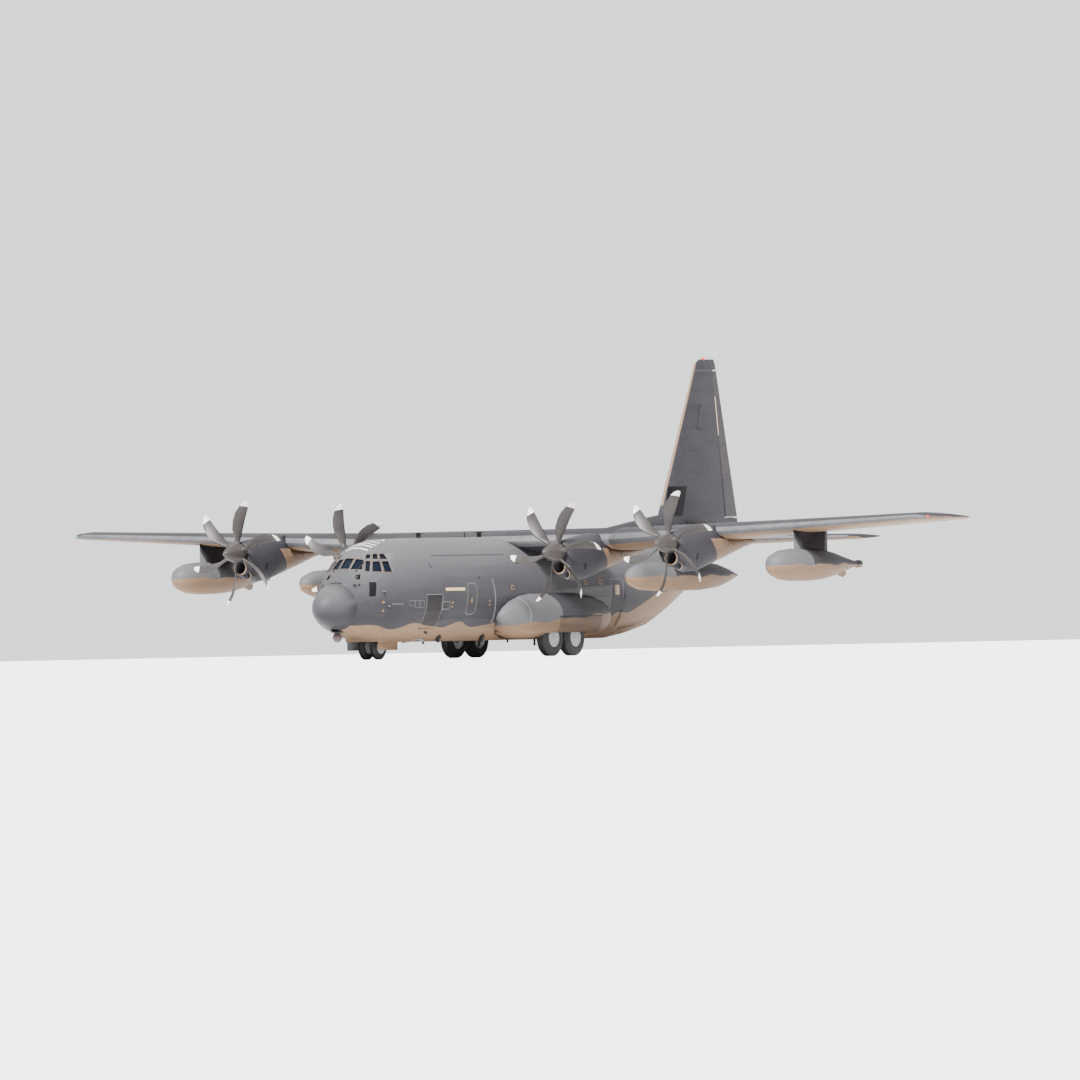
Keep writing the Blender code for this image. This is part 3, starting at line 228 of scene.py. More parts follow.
def make_box_group():
    """Distance masks of a rounded rectangle on a flat pair of values: filled, and its outline only."""
    floats = {"U": 0.0, "V": 0.0, "Middle U": 0.0, "Middle V": 0.0, "Half U": 0.1, "Half V": 0.1, "Corner": 0.02,
              "Line": 0.006, "Lean": 0.0}
    nodes, given, out = new_group("rounded_box", floats, ["Filled", "Outline"], False)
    v = given["V"] - given["Middle V"]
    u = (given["U"] - given["Middle U"]) - v * given["Lean"]
    du = (abs(u) - given["Half U"]) + given["Corner"]
    dv = (abs(v) - given["Half V"]) + given["Corner"]
    outer = nodes.math("SQRT", du.most(0.0) ** 2.0 + dv.most(0.0) ** 2.0)
    distance = (outer + nodes.math("MINIMUM", du.most(dv), 0.0)) - given["Corner"]
    nodes.feed(out["Filled"], 1.0 - nodes.ramp(distance, -MARK_BLUR, MARK_BLUR))
    nodes.feed(out["Outline"], 1.0 - nodes.ramp(abs(distance) - given["Line"], -MARK_BLUR, MARK_BLUR))


PAINT_SPECULAR = 0.12
BARE_SPECULAR = 0.25


def new_material(name, roughness, metallic=0.0):
    """The nodes and the shader of a new material."""
    made = bpy.data.materials.new(name)
    made.use_nodes = True
    shader = made.node_tree.nodes["Principled BSDF"]
    shader.inputs["Roughness"].default_value = roughness
    shader.inputs["Metallic"].default_value = metallic
    shader.inputs["Specular IOR Level"].default_value = PAINT_SPECULAR
    return Nodes(made.node_tree), shader


def new_paint(name):
    """The nodes and the shader of a new paint, with a point's place and its x, y and z."""
    nodes, shader = new_material(name, 0.5)
    place = nodes.place()
    return nodes, shader, place, nodes.split(place)


GREY = (0.021, 0.0203, 0.0245, 1.0)
GREY_DARK = (0.012, 0.0115, 0.014, 1.0)
GREY_LIGHT = (0.038, 0.037, 0.043, 1.0)
RADOME_GREY = (0.025, 0.0245, 0.0295, 1.0)
# painted highlight: the radome's top, lighter as if lit from above
RADOME_PAINTED_HIGHLIGHT = (0.074, 0.073, 0.080, 1.0)
# painted light: the body's grey towards the crown, lighter as if lit from above
PAINTED_TOP_LIGHT = (0.086, 0.085, 0.092, 1.0)
DOOR_GREY = (0.012, 0.010, 0.011, 1.0)
CAP_GREY = (0.072, 0.072, 0.079, 1.0)
RUDDER_GREY = (0.034, 0.030, 0.034, 1.0)
TAN = (0.150, 0.097, 0.060, 1.0)
TAN_DARK = (0.085, 0.056, 0.037, 1.0)
OUTLINE = (0.14, 0.135, 0.14, 1.0)
STRIP = (0.44, 0.36, 0.16, 1.0)
WHITE = (0.55, 0.54, 0.51, 1.0)
BLACK = (0.002, 0.002, 0.003, 1.0)
FRAME_TAN = (0.19, 0.105, 0.045, 1.0)
PALE_TAN = (0.33, 0.26, 0.21, 1.0)
# a paint's own colour, its streaks and its lighter patches
GREYS = (GREY, GREY_DARK, GREY_LIGHT)
TANS = (TAN, TAN_DARK, TAN)


def weathered(nodes, place, upper, dark, light):
    """A paint colour with cloudy lighter and darker patches and faint streaks."""
    weather = nodes.group("weathering", Place=place)
    colour = nodes.mix(nodes.ramp(weather["Patches"], 0.35, 0.75) * 0.35, upper, light)
    return nodes.mix(weather["Streaks"] * 0.45, colour, dark), weather


def paint_shader(nodes, shader, colour, weather, bump_line=None):
    """Feeds the shader with the colour, a grainy roughness and the grain's and seams' relief."""
    nodes.feed(shader.inputs["Base Color"], colour)
    nodes.feed(shader.inputs["Roughness"], nodes.math("MULTIPLY_ADD", weather["Grain"], 0.22, 0.42))
    height = weather["Grain"] * 0.15
    if bump_line is not None:
        height = height - bump_line
    bump = {"Strength": 0.25, "Distance": 0.004, "Height": height}
    nodes.feed(shader.inputs["Normal"], nodes.fed("ShaderNodeBump", bump))


def seam_lines(nodes, along, step, shift, width=0.003):
    """The seams between skin panels, a real step apart."""
    return nodes.group("seam_lines", Along=along, Step=real(step), Width=width, Shift=shift)["Line"]


# every mark below: middle u and v, half sizes and corner in real metres, then its lean and half its line
PLAIN_MARK = (0.0, 0.006)  # the lean and half line of a mark that gives none


def box_marks(nodes, u, v, rows, kind="Filled"):
    """The largest of several marks."""
    total = None
    for middle_u, middle_v, half_u, half_v, corner, *rest in rows:
        lean, line = (*rest, *PLAIN_MARK[len(rest):])
        mask = nodes.group("rounded_box", U=u, V=v, Middle_U=station(middle_u), Middle_V=real(middle_v),
                           Half_U=real(half_u), Half_V=real(half_v), Corner=real(corner), Line=real(line),
                           Lean=lean)[kind]
        total = mask if total is None else total.most(mask)
    return total


# on the port flank, in y and z
PORT_OUTLINES = (
    (4.92, 1.80, 0.52, 0.66, 0.05, 0.0, 0.012),
    (5.70, 2.03, 0.24, 0.14, 0.02, 0.0, 0.012),
    (7.46, 2.27, 0.32, 0.60, 0.20, 0.0, 0.015),
    (17.66, 2.03, 0.43, 0.92, 0.12, 0.0, 0.012),
    (3.58, 2.14, 0.14, 0.10, 0.01),
    (3.87, 2.10, 0.12, 0.14, 0.01),
    (4.15, 2.10, 0.12, 0.14, 0.01),
    (2.85, 2.12, 0.26, 0.02, 0.01),
)
PORT_STRIPES = ((9.10, 2.17, 0.028, 0.85, 0.02, -0.176), (5.30, 1.40, 0.012, 0.26, 0.01, 0.25))
PORT_DARK = (
    (1.93, 2.70, 0.12, 0.275, 0.02, 0.40),
    (5.05, 3.57, 0.03, 0.09, 0.02, -0.5),
    (8.06, 3.08, 0.03, 0.06, 0.02, -0.5),
    (4.65, 1.66, 0.13, 0.05, 0.02),
)
PORT_SPOTS = (
    (6.13, 2.13, 0.060, 0.045, 0.04),
    (6.12, 1.98, 0.060, 0.035, 0.03),
    (7.44, 2.21, 0.055, 0.100, 0.05),
    (8.70, 2.18, 0.045, 0.045, 0.04),
    (8.72, 2.03, 0.045, 0.045, 0.04),
    (2.22, 2.20, 0.050, 0.040, 0.03),
    (2.21, 1.87, 0.050, 0.035, 0.03),
)
PORT_MARKS = (
    (PORT_OUTLINES, "Outline", 0.7, OUTLINE),
    (PORT_STRIPES, "Filled", 0.9, OUTLINE),
    (PORT_DARK, "Filled", 1.0, BLACK),
    (PORT_SPOTS, "Filled", 0.9, FRAME_TAN),
)
# on both flanks, in y and z
SIDE_STRIPS = ((6.30, 2.65, 0.66, 0.055, 0.02), (19.6, 2.66, 0.85, 0.05, 0.02))
CROWN_SEAMS = ((8.0, 3.95, 2.5, 0.022, 0.01), (14.5, 3.95, 1.8, 0.014, 0.01))
# on the crown, in y and x
RADOME_SLOT = ((1.225, 0.0, 0.028, 0.30, 0.02),)
ROOF_BARS = tuple((y, 0.0, 0.032, half, 0.01)
                  for y, half in ((2.74, 0.50), (3.00, 0.54), (3.26, 0.56), (3.55, 0.50), (3.92, 0.34)))
ROOF_LOOP = ((4.85, 0.48, 0.52, 0.09, 0.08, 0.05, 0.008),)
ROOF_STRIP = ((9.40, 0.0, 0.30, 0.05, 0.02),)
ROOF_MARKS = (
    (RADOME_SLOT, "Filled", BLACK),
    (ROOF_BARS, "Filled", WHITE),
    (ROOF_LOOP, "Outline", OUTLINE),
    (ROOF_STRIP, "Filled", STRIP),
)
# on the flanks of the inner nacelles, in y and z; the outer ones sit higher by OUTER_LIFT
NACELLE_SLOTS = (
    (10.50, 3.44, 0.060, 0.120, 0.02, 0.10),
    (13.10, 3.90, 0.05, 0.045, 0.04),
    (11.60, 3.62, 0.03, 0.03, 0.03),
)
OUTER_LIFT = 0.27
# the wheel door on each fairing, darker below its dark upper edge, with the mark's strength and colour
WHEEL_DOOR = (((14.30, 1.20, 1.60, 0.33, 0.03), 0.45, GREY_DARK), ((14.30, 1.53, 1.60, 0.022, 0.01), 0.9, BLACK))
# on the fin, in y and z: the dark patch at its foot, the pale strip and the cap's joint
FIN_DARK = ((24.96, 5.95, 0.56, 0.58, 0.02, 0.35),)
FIN_STRIP = ((28.27, 9.28, 0.026, 0.75, 0.01, -0.115),)
FIN_LINES = ((27.20, 11.06, 0.70, 0.010, 0.01),)
# the wavy edge between the body's grey and tan
BODY_EDGE = {"Height": real(1.27), "Rise_From": station(17.0), "Rise": 0.27, "Wave": real(0.09),
             "Wavelength": real(2.7), "Phase": 1.2}


def make_body_paint():
    """Grey over tan with a wavy edge, skin seams, door outlines and pale strips on the flanks, with painted light on
    the crown and a painted highlight on the radome's top.
    """
    nodes, shader, place, (x, y, z) = new_paint("body_paint")
    grey, weather = weathered(nodes, place, *GREYS)
    tan, _ = weathered(nodes, place, *TANS)
    above = nodes.group("wavy_split", Place=place, **BODY_EDGE)["Above"]
    behind_radome = nodes.ramp(y, station(1.16), station(1.18))
    # painted light: the grey grows lighter towards the crown, as light from above would make it
    grey = nodes.mix(nodes.ramp(z, real(2.1), real(4.7)) * 0.85, grey, PAINTED_TOP_LIGHT)
    # painted highlight: the radome grows lighter towards its top
    radome = nodes.mix(nodes.ramp(z, real(1.7), real(3.1)), RADOME_GREY, RADOME_PAINTED_HIGHLIGHT)
    grey = nodes.mix(behind_radome, radome, grey)
    colour = nodes.mix(above.most(1.0 - behind_radome), tan, grey)
    seams = (seam_lines(nodes, y, 1.5, 0.11, 0.004) * 0.3).most(box_marks(nodes, y, z, CROWN_SEAMS))
    colour = nodes.mix(seams * 0.75, colour, GREY_DARK)
    upper = z > real(2.6)
    for rows, kind, shade in ROOF_MARKS:
        colour = nodes.mix(box_marks(nodes, y, x, rows, kind) * upper, colour, shade)
    port = x > 0.0
    for rows, kind, amount, shade in PORT_MARKS:
        colour = nodes.mix(box_marks(nodes, y, z, rows, kind) * port * amount, colour, shade)
    flank = abs(x) > real(1.2)
    colour = nodes.mix(box_marks(nodes, y, z, SIDE_STRIPS) * flank, colour, STRIP)
    paint_shader(nodes, shader, colour, weather, seams)


def make_plain_paint(name, base, dark, light, across=False, root=0.0):
    """One weathered colour with skin seams across the body, or along and across a wing."""
    nodes, shader, place, (x, y, _) = new_paint(name)
    colour, weather = weathered(nodes, place, base, dark, light)
    if root:
        colour = nodes.mix((abs(x) < real(root)) * (y < station(16.0)), colour, GREY)
    seams = seam_lines(nodes, y, 1.1, 0.05)
    if across:
        seams = seams.most(seam_lines(nodes, x, 1.45, 0.02))
    colour = nodes.mix(seams * 0.3, colour, dark)
    paint_shader(nodes, shader, colour, weather, seams * 0.5)


def make_split_paint(name, height, wave, wavelength, cap, stripes=(), cap_height=0.0, rise=0.0, doors=()):
    """Grey over tan with its edge at a real height, and a lighter cap in front of a real y above the edge."""
    nodes, shader, place, (_, y, z) = new_paint(name)
    grey, weather = weathered(nodes, place, *GREYS)
    tan, _ = weathered(nodes, place, *TANS)
    front = y + (z - real(cap_height)) ** 2.0 * 0.9
    grey = nodes.mix(nodes.ramp(front, station(cap) - 0.004, station(cap) + 0.004), CAP_GREY, grey)
    above = nodes.group("wavy_split", Place=place, Height=real(height), Rise_From=station(10.0), Rise=rise,
                        Wave=real(wave), Wavelength=real(wavelength))["Above"]
    colour = nodes.mix(above, tan, grey)
    for start, end, shade in stripes:
        inside = (front > station(start)) * (front < station(end))
        colour = nodes.mix(inside * above, colour, shade)
    for row, amount, shade in doors:
        colour = nodes.mix(box_marks(nodes, y, z, (row,)) * amount, colour, shade)
    seams = seam_lines(nodes, y, 1.3, 0.02)
    colour = nodes.mix(seams * 0.3, colour, GREY_DARK)
    paint_shader(nodes, shader, colour, weather, seams * 0.6)


def make_nacelle_paint():
    """A grey cowl whose rear and lower part is tan, parted along a slanting edge."""
    nodes, shader, place, (x, y, z) = new_paint("nacelle_paint")
    grey, weather = weathered(nodes, place, *GREYS)
    tan, _ = weathered(nodes, place, *TANS)
    slant = nodes.math("MULTIPLY_ADD", z - real(4.0), 0.8, y)
    edge = nodes.ramp(slant, station(11.75) - 0.006, station(11.75) + 0.006)
    level = z - (abs(x) > real(7.4)) * real(OUTER_LIFT)
    seams = seam_lines(nodes, y, 0.95, 0.08)
    colour = nodes.mix(edge * (level < real(4.12)), grey, tan)
    colour = nodes.mix(seams * 0.4, colour, GREY_DARK)
    colour = nodes.mix(box_marks(nodes, y, level, NACELLE_SLOTS), colour, BLACK)
    paint_shader(nodes, shader, colour, weather, seams)


def make_plain(name, colour, roughness, metallic=0.0, grain=0.0):
    """One colour with a little grain, for rubber, metal, boots and fittings."""
    nodes, shader = new_material(name, roughness, metallic)
    shader.inputs["Specular IOR Level"].default_value = BARE_SPECULAR
    if not grain:
        shader.inputs["Base Color"].default_value = colour
        return
    weather = nodes.group("weathering", Place=nodes.place(), Scale=2.0)
    worn = nodes.mix(weather["Patches"] * grain, colour, tuple(min(c * 1.8, 1.0) for c in colour))
    nodes.feed(shader.inputs["Base Color"], worn)
    nodes.feed(shader.inputs["Roughness"], nodes.math("MULTIPLY_ADD", weather["Grain"], 0.3, roughness - 0.12))


def make_blade_paint():
    """Dark blades with a pale tip, told apart by how far a point is from its propeller's axis."""
    nodes, shader = new_material("blade_finish", 0.42)
    shader.inputs["Specular IOR Level"].default_value = BARE_SPECULAR
    reach = nodes.fed("ShaderNodeAttribute", {}, "Fac", attribute_name="reach")
    weather = nodes.group("weathering", Place=nodes.place(), Scale=3.0)
    dark = nodes.mix(weather["Patches"], (0.014, 0.013, 0.014, 1.0), (0.040, 0.036, 0.034, 1.0))
    nodes.feed(shader.inputs["Base Color"], nodes.mix(nodes.ramp(reach, 0.905, 0.912), dark, WHITE))


def make_fin_paint(name, grey):
    """The fin's grey, with a tan leading edge, a dark patch at its foot and faint ripples in its skin."""
    nodes, shader, place, (_, y, z) = new_paint(name)
    colour, weather = weathered(nodes, place, grey, GREY_DARK, GREY_LIGHT)
    from_edge = (y - station(24.30)) - (z - real(6.06)) * 0.472
    colour = nodes.mix(box_marks(nodes, y, z, FIN_DARK), colour, BLACK)
    colour = nodes.mix((z > real(5.80)) * (from_edge < 0.035), colour, TAN)
    colour = nodes.mix(box_marks(nodes, y, z, FIN_LINES) * 0.3, colour, OUTLINE)
    colour = nodes.mix(box_marks(nodes, y, z, FIN_STRIP), colour, PALE_TAN)
    ripple = nodes.math("SINE", (z + y * 0.6) * 42.0)
    fade = nodes.ramp(nodes.noise(place, 1.6), 0.42, 0.62)
    paint_shader(nodes, shader, colour, weather, ripple * fade * 0.5)


def make_door_paint():
    """The crew door's darker grey, with the body's tan below the wavy edge."""
    nodes, shader, place, _ = new_paint("door_paint")
    colour, weather = weathered(nodes, place, DOOR_GREY, GREY_DARK, GREY)
    above = nodes.group("wavy_split", Place=place, **BODY_EDGE)["Above"]
    paint_shader(nodes, shader, nodes.mix(above, TAN, colour), weather)


def make_glass():
    _, shader = new_material("tinted_glass", 0.22)
    shader.inputs["Base Color"].default_value = (0.003, 0.005, 0.010, 1.0)
    shader.inputs["Transmission Weight"].default_value = 0.12
    shader.inputs["Specular IOR Level"].default_value = 0.06
    shader.inputs["IOR"].default_value = 1.45


def make_lamp(name, colour):
    _, shader = new_material(name, 0.15)
    shader.inputs["Base Color"].default_value = colour
    shader.inputs["Coat Weight"].default_value = 1.0


# name, colour, roughness, metallic and grain
PLAIN_MATERIALS = (
    ("cowl_shadow", BLACK, 0.6, 0.0, 0.0),
    ("boot_grey", (0.014, 0.014, 0.016, 1.0), 0.55, 0.0, 0.3),
    ("spinner_grey", (0.024, 0.020, 0.019, 1.0), 0.45, 0.0, 0.4),
    ("lip_metal", (0.21, 0.145, 0.10, 1.0), 0.4, 0.0, 0.2),
    ("tyre_finish", (0.022, 0.022, 0.023, 1.0), 0.72, 0.0, 0.5),
    ("rim_finish", (0.33, 0.33, 0.33, 1.0), 0.45, 0.2, 0.2),
    ("leg_finish", (0.28, 0.285, 0.29, 1.0), 0.4, 0.3, 0.3),
    ("bolt_metal", (0.22, 0.22, 0.23, 1.0), 0.4, 0.8, 0.0),
    ("deck_finish", (0.14, 0.145, 0.15, 1.0), 0.6, 0.0, 0.4),
    ("seal_tan", FRAME_TAN, 0.6, 0.0, 0.0),
    # dark glass, and painted shade behind the lower cockpit panes
    ("dark_glass_and_shade", (0.004, 0.006, 0.012, 1.0), 0.15, 0.0, 0.0),
    ("fitting_white", WHITE, 0.45, 0.0, 0.0),
    ("fitting_grey", (0.13, 0.13, 0.14, 1.0), 0.5, 0.0, 0.3),
    ("turret_finish", (0.060, 0.042, 0.042, 1.0), 0.3, 0.0, 0.3),
)


def make_materials():
    """Every node group and material, once, under the names the pieces ask for."""
    make_split_group()
    make_weather_group()
    make_lines_group()
    make_box_group()
    make_body_paint()
    make_nacelle_paint()
    make_split_paint("sponson_paint", 1.24, 0.04, 2.4, 12.9, ((10.72, 10.78, OUTLINE),), 1.6, 0.06, WHEEL_DOOR)
    make_split_paint("tank_paint", 2.98, 0.035, 1.9, 12.75, ((17.35, 18.2, GREY_DARK),), 2.98)
    make_split_paint("pod_paint", 3.31, 0.035, 1.9, 12.8, ((16.66, 17.2, GREY_DARK),), 3.31)
    make_door_paint()
    make_plain_paint("upper_grey", *GREYS, across=True)
    make_plain_paint("under_tan", *TANS, across=True, root=3.1)
    # the leading edge's lighter grey: a painted highlight
    make_plain_paint("edge_highlight_grey", CAP_GREY, GREY_LIGHT, OUTLINE)
    make_fin_paint("fin_paint", GREY)
    make_fin_paint("rudder_paint", RUDDER_GREY)
    for row in PLAIN_MATERIALS:
        make_plain(*row)
    make_lamp("lamp_red", (0.45, 0.012, 0.01, 1.0))
    make_lamp("lamp_green", (0.01, 0.30, 0.06, 1.0))
    make_blade_paint()
    make_glass()


def finish_mesh(bm, name, materials, smooth_angle=35.0):
    """A mesh with named materials, smooth except at edges sharper than the angle."""
    mesh = bpy.data.meshes.new(name)
    bm.to_mesh(mesh)
    bm.free()
    for key in materials:
        mesh.materials.append(bpy.data.materials[key])
    for face in mesh.polygons:
        face.use_smooth = True
    mesh.set_sharp_from_angle(angle=math.radians(smooth_angle))
    return mesh


def place_piece(mesh, body):
    """Sets a finished mesh in the scene, carried by a body."""
    piece = bpy.data.objects.new(mesh.name, mesh)
    bpy.context.scene.collection.objects.link(piece)
    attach(piece, body)
    return piece


def body_named(node):
    return frame["nodes"][node]["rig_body"]


def dress(node, materials, choose=None, smooth_angle=35.0, round_edges=0.0):
    """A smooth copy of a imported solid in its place. choose gives the index of a face's material."""
    bm = bmesh.new()
    bm.from_mesh(frame["nodes"][node].data)
    bmesh.ops.remove_doubles(bm, verts=bm.verts, dist=1e-5)
    bm.normal_update()
    for face in bm.faces:
        face.material_index = choose(face) if choose else 0
    mesh = finish_mesh(bm, "finished_" + node, materials, smooth_angle)
    piece = place_piece(mesh, body_named(node))
    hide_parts(node)
    if round_edges:
        bevel = piece.modifiers.new("rounded_edges", "BEVEL")
        bevel.width = round_edges
        bevel.segments = 2
        bevel.limit_method = "ANGLE"
        bevel.angle_limit = math.radians(40.0)
        bevel.harden_normals = True
    return piece


def under(face):
    """The index of a wing's paint: two on the leading edge, whose lighter grey is a painted highlight, one below and
    zero above.
    """
    if face.normal.y < -0.62:
        return 2
    return 1 if face.normal.z < -0.12 else 0


class SolidPart:
    """A bmesh that grows by turned shapes, rods and blocks, each with its own material."""

    def __init__(self):
        self.bm = bmesh.new()
        self.materials = []

    def index(self, material):
        """The material's place in the part, added if it is new."""
        if material not in self.materials:
            self.materials.append(material)
        return self.materials.index(material)

    def paint(self, verts, material):
        index = self.index(material)
        for face in set(face for vert in verts for face in vert.link_faces):
            face.material_index = index

    def block(self, centre, size, material, round_edge=0.0):
        made = bmesh.ops.create_cube(self.bm, size=1.0)["verts"]
        bmesh.ops.scale(self.bm, vec=size, verts=made)
        if round_edge:
            edges = list(set(edge for vert in made for edge in vert.link_edges))
            done = bmesh.ops.bevel(self.bm, geom=edges, offset=round_edge, offset_type="OFFSET", affect="EDGES",
                                   segments=2, profile=0.5, material=-1)
            made = list(set(done["verts"]) | set(vert for vert in made if vert.is_valid))
        bmesh.ops.translate(self.bm, vec=centre, verts=made)
        self.paint(made, material)

    def rod(self, start, end, radius, material, end_radius=None, segments=16):
        start, end = Vector(start), Vector(end)
        along = end - start
        made = bmesh.ops.create_cone(self.bm, cap_ends=True, cap_tris=False, segments=segments, radius1=radius,
                                     radius2=radius if end_radius is None else end_radius, depth=along.length)["verts"]
        turn = along.to_track_quat("Z", "Y").to_matrix().to_4x4()
        bmesh.ops.transform(self.bm, matrix=Matrix.Translation((start + end) / 2) @ turn, verts=made)
        self.paint(made, material)

    def ball(self, centre, radius, material, squash=(1.0, 1.0, 1.0)):
        made = bmesh.ops.create_uvsphere(self.bm, u_segments=20, v_segments=12, radius=radius)["verts"]
        bmesh.ops.scale(self.bm, vec=squash, verts=made)
        bmesh.ops.translate(self.bm, vec=centre, verts=made)
        self.paint(made, material)

    def turned(self, rows, centre, axis, material, segments=32, closed=False):
        """A profile of (distance along the axis, radius) spun full round, as a loop if closed."""
        known = set(self.bm.faces)
        turn = Vector(axis).normalized().to_track_quat("Z", "Y").to_matrix()
        verts = [self.bm.verts.new(turn @ Vector((radius, 0.0, along)) + Vector(centre)) for along, radius in rows]
        pairs = list(zip(verts, verts[1:])) + ([(verts[-1], verts[0])] if closed else [])
        edges = [self.bm.edges.new(pair) for pair in pairs]
        bmesh.ops.spin(self.bm, geom=verts + edges, cent=centre, axis=Vector(axis), dvec=(0.0, 0.0, 0.0),
                       angle=math.tau, steps=segments, use_merge=True, use_duplicate=False)
        self.claim(known, material)

    def claim(self, known, material):
        """Gives every face that isn't known yet the material."""
        index = self.index(material)
        for face in self.bm.faces:
            if face not in known:
                face.material_index = index

    def frame_round(self, skin, points, middle, out, width, lift, sink, material):
        """A thin frame that follows the skin round an opening with these corners."""
        known = set(self.bm.faces)
        loops = []
        for start, end in zip(points, points[1:] + points[:1]):
            for step in range(5):
                rim = start.lerp(end, step / 5)
                away = (rim - middle).normalized()
                near = skin.hit(rim + away * 0.001 + out * 0.15, -out)[0]
                far = skin.hit(rim + away * (0.001 + width) + out * 0.15, -out)[0]
                loops.append([self.bm.verts.new(point) for point in
                              (near - out * sink, near + out * lift, far + out * lift, far - out * 0.002)])
        for one, two in zip(loops, loops[1:] + loops[:1]):
            for i in range(4):
                j = (i + 1) % 4
                self.bm.faces.new((one[i], one[j], two[j], two[i]))
        self.claim(known, material)

    def finish(self, name, body, smooth_angle=35.0):
        bmesh.ops.remove_doubles(self.bm, verts=self.bm.verts, dist=1e-6)
        bmesh.ops.recalc_face_normals(self.bm, faces=self.bm.faces)
        return place_piece(finish_mesh(self.bm, name, self.materials, smooth_angle), body)


class PlaneStudio(bpy.types.PropertyGroup):
    """Where the camera stands and how strong the light is."""

    azimuth: bpy.props.FloatProperty(name="Azimuth", description="Camera's turn from the nose toward port",
                                     default=math.radians(33.3), subtype="ANGLE")
    roll: bpy.props.FloatProperty(name="Roll", description="Camera's roll, which lifts the port wing in the picture",
                                  default=math.radians(1.18), subtype="ANGLE")
    distance: bpy.props.FloatProperty(name="Distance", description="Camera's distance from the plane", default=450.0,
                                      unit="LENGTH")
    height: bpy.props.FloatProperty(name="Height", description="Camera's height over the floor",
                                    default=0.15, unit="LENGTH")
    aim: bpy.props.FloatVectorProperty(name="Aim", description="The point in the middle of the picture",
                                       default=(0.0, 0.321, 2.254), subtype="TRANSLATION")
    lens: bpy.props.FloatProperty(name="Lens", description="Focal length in millimetres", default=774.0)
    sun: bpy.props.FloatProperty(name="Sun", description="Strength of the soft key light", default=17.0)
    sky: bpy.props.FloatProperty(name="Sky", description="Strength of the light from all round", default=1.65)
    floor: bpy.props.FloatProperty(name="Floor", description="Half the width of the floor",
                                   default=1200.0, unit="LENGTH")


class PlaneFittings(bpy.types.PropertyGroup):
    """Sizes of the small fittings, in metres of the model."""

    edge: bpy.props.FloatProperty(name="Edge", description="Rounding of plain corners", default=0.004, unit="LENGTH")
    seal: bpy.props.FloatProperty(name="Seal", description="Width of the window seals", default=0.0028, unit="LENGTH")
    lamp: bpy.props.FloatProperty(name="Lamp", description="Radius of a navigation lamp", default=0.035, unit="LENGTH")


def inside_wall(face):
    """One for a face of the body's inner skin."""
    middle = face.calc_center_median()
    out = Vector((middle.x, 0.0, middle.z - real(2.6)))
    return 1 if face.normal.dot(out) < -0.15 * out.length and abs(face.normal.y) < 0.6 else 0


# the port corners of each window as x, y and z: front lower, front upper, rear upper and rear lower
CENTRE_PANE = ((-0.20, 1.86, 3.50), (-0.20, 2.25, 3.90), (0.20, 2.25, 3.90), (0.20, 1.86, 3.50))
PORT_PANES = (
    ((0.280, 1.855, 3.475), (0.287, 2.260, 3.880), (0.558, 2.330, 3.840), (0.703, 2.030, 3.460)),
    ((0.821, 2.060, 3.400), (0.664, 2.350, 3.800), (0.822, 2.440, 3.780), (0.953, 2.170, 3.390)),
    ((1.032, 2.240, 3.380), (0.884, 2.480, 3.770), (1.087, 2.680, 3.760), (1.291, 2.530, 3.360)),
    ((1.349, 2.610, 3.360), (1.126, 2.750, 3.770), (1.283, 2.980, 3.770), (1.510, 2.900, 3.360)),
    ((0.611, 2.400, 3.880), (0.564, 2.550, 4.050), (0.694, 2.640, 4.050), (0.767, 2.500, 3.880)),
    ((0.848, 2.540, 3.860), (0.745, 2.710, 4.060), (0.864, 2.840, 4.060), (0.999, 2.700, 3.860)),
    ((1.054, 2.760, 3.850), (0.916, 2.900, 4.060), (1.022, 3.050, 4.060), (1.230, 3.010, 3.850)),
    ((0.595, 1.620, 3.090), (0.573, 1.780, 3.270), (0.732, 1.890, 3.290), (0.789, 1.750, 3.090)),
)


def all_panes():
    """The corners of every window on the model, port and starboard, each with its outward direction."""
    panes = [CENTRE_PANE]
    for corners in PORT_PANES:
        panes += [corners, tuple((-x, y, z) for x, y, z in corners)]
    found = []
    for corners in panes:
        points = [at(*corner) for corner in corners]
        out = (points[2] - points[0]).cross(points[3] - points[1]).normalized()
        middle = sum(points, Vector()) / 4
        if out.dot(middle - at(0.0, 3.2, 2.2)) < 0:
            out.negate()
        found.append((points, middle, out))
    return found


def pane_wall(face, panes):
    """Whether a face is a wall of one of the window holes."""
    middle = face.calc_center_median()
    for points, centre, out in panes:
        away = middle - centre
        reach = max((point - centre).length for point in points)
        if abs(face.normal.dot(out)) < 0.05 and abs(away.dot(out)) < real(0.12) and away.length < reach * 1.02:
            return True
    return False


def window_choice(panes):
    """Two for a wall of a window hole, which is dark, and one for the inner skin."""
    return lambda face: 2 if pane_wall(face, panes) else inside_wall(face)


class Skin:
    """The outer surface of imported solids, to set fittings and trim on."""

    def __init__(self, *names):
        points = []
        faces = []
        for name in names:
            mesh = frame["nodes"][name].data
            first = len(points)
            points += [vert.co.copy() for vert in mesh.vertices]
            faces += [[first + i for i in face.vertices] for face in mesh.polygons]
        self.tree = BVHTree.FromPolygons(points, faces)

    def hit(self, start, heading):
        """Where a ray meets the skin, and the way the skin faces there."""
        place, normal, _, _ = self.tree.ray_cast(start, heading)
        if place is None:
            raise RuntimeError(f"no skin ahead of {tuple(start)}")
        return place, normal if normal.dot(heading) < 0 else -normal

    def flank(self, y, z, side):
        """The point of the flank at a real y and z, seen from that side."""
        return self.hit(at(side * 12.0, y, z), Vector((-side, 0.0, 0.0)))

    def top(self, x, y):
        return self.hit(at(x, y, 15.0), -UP)

    def belly(self, x, y):
        return self.hit(at(x, y, -1.0), UP)


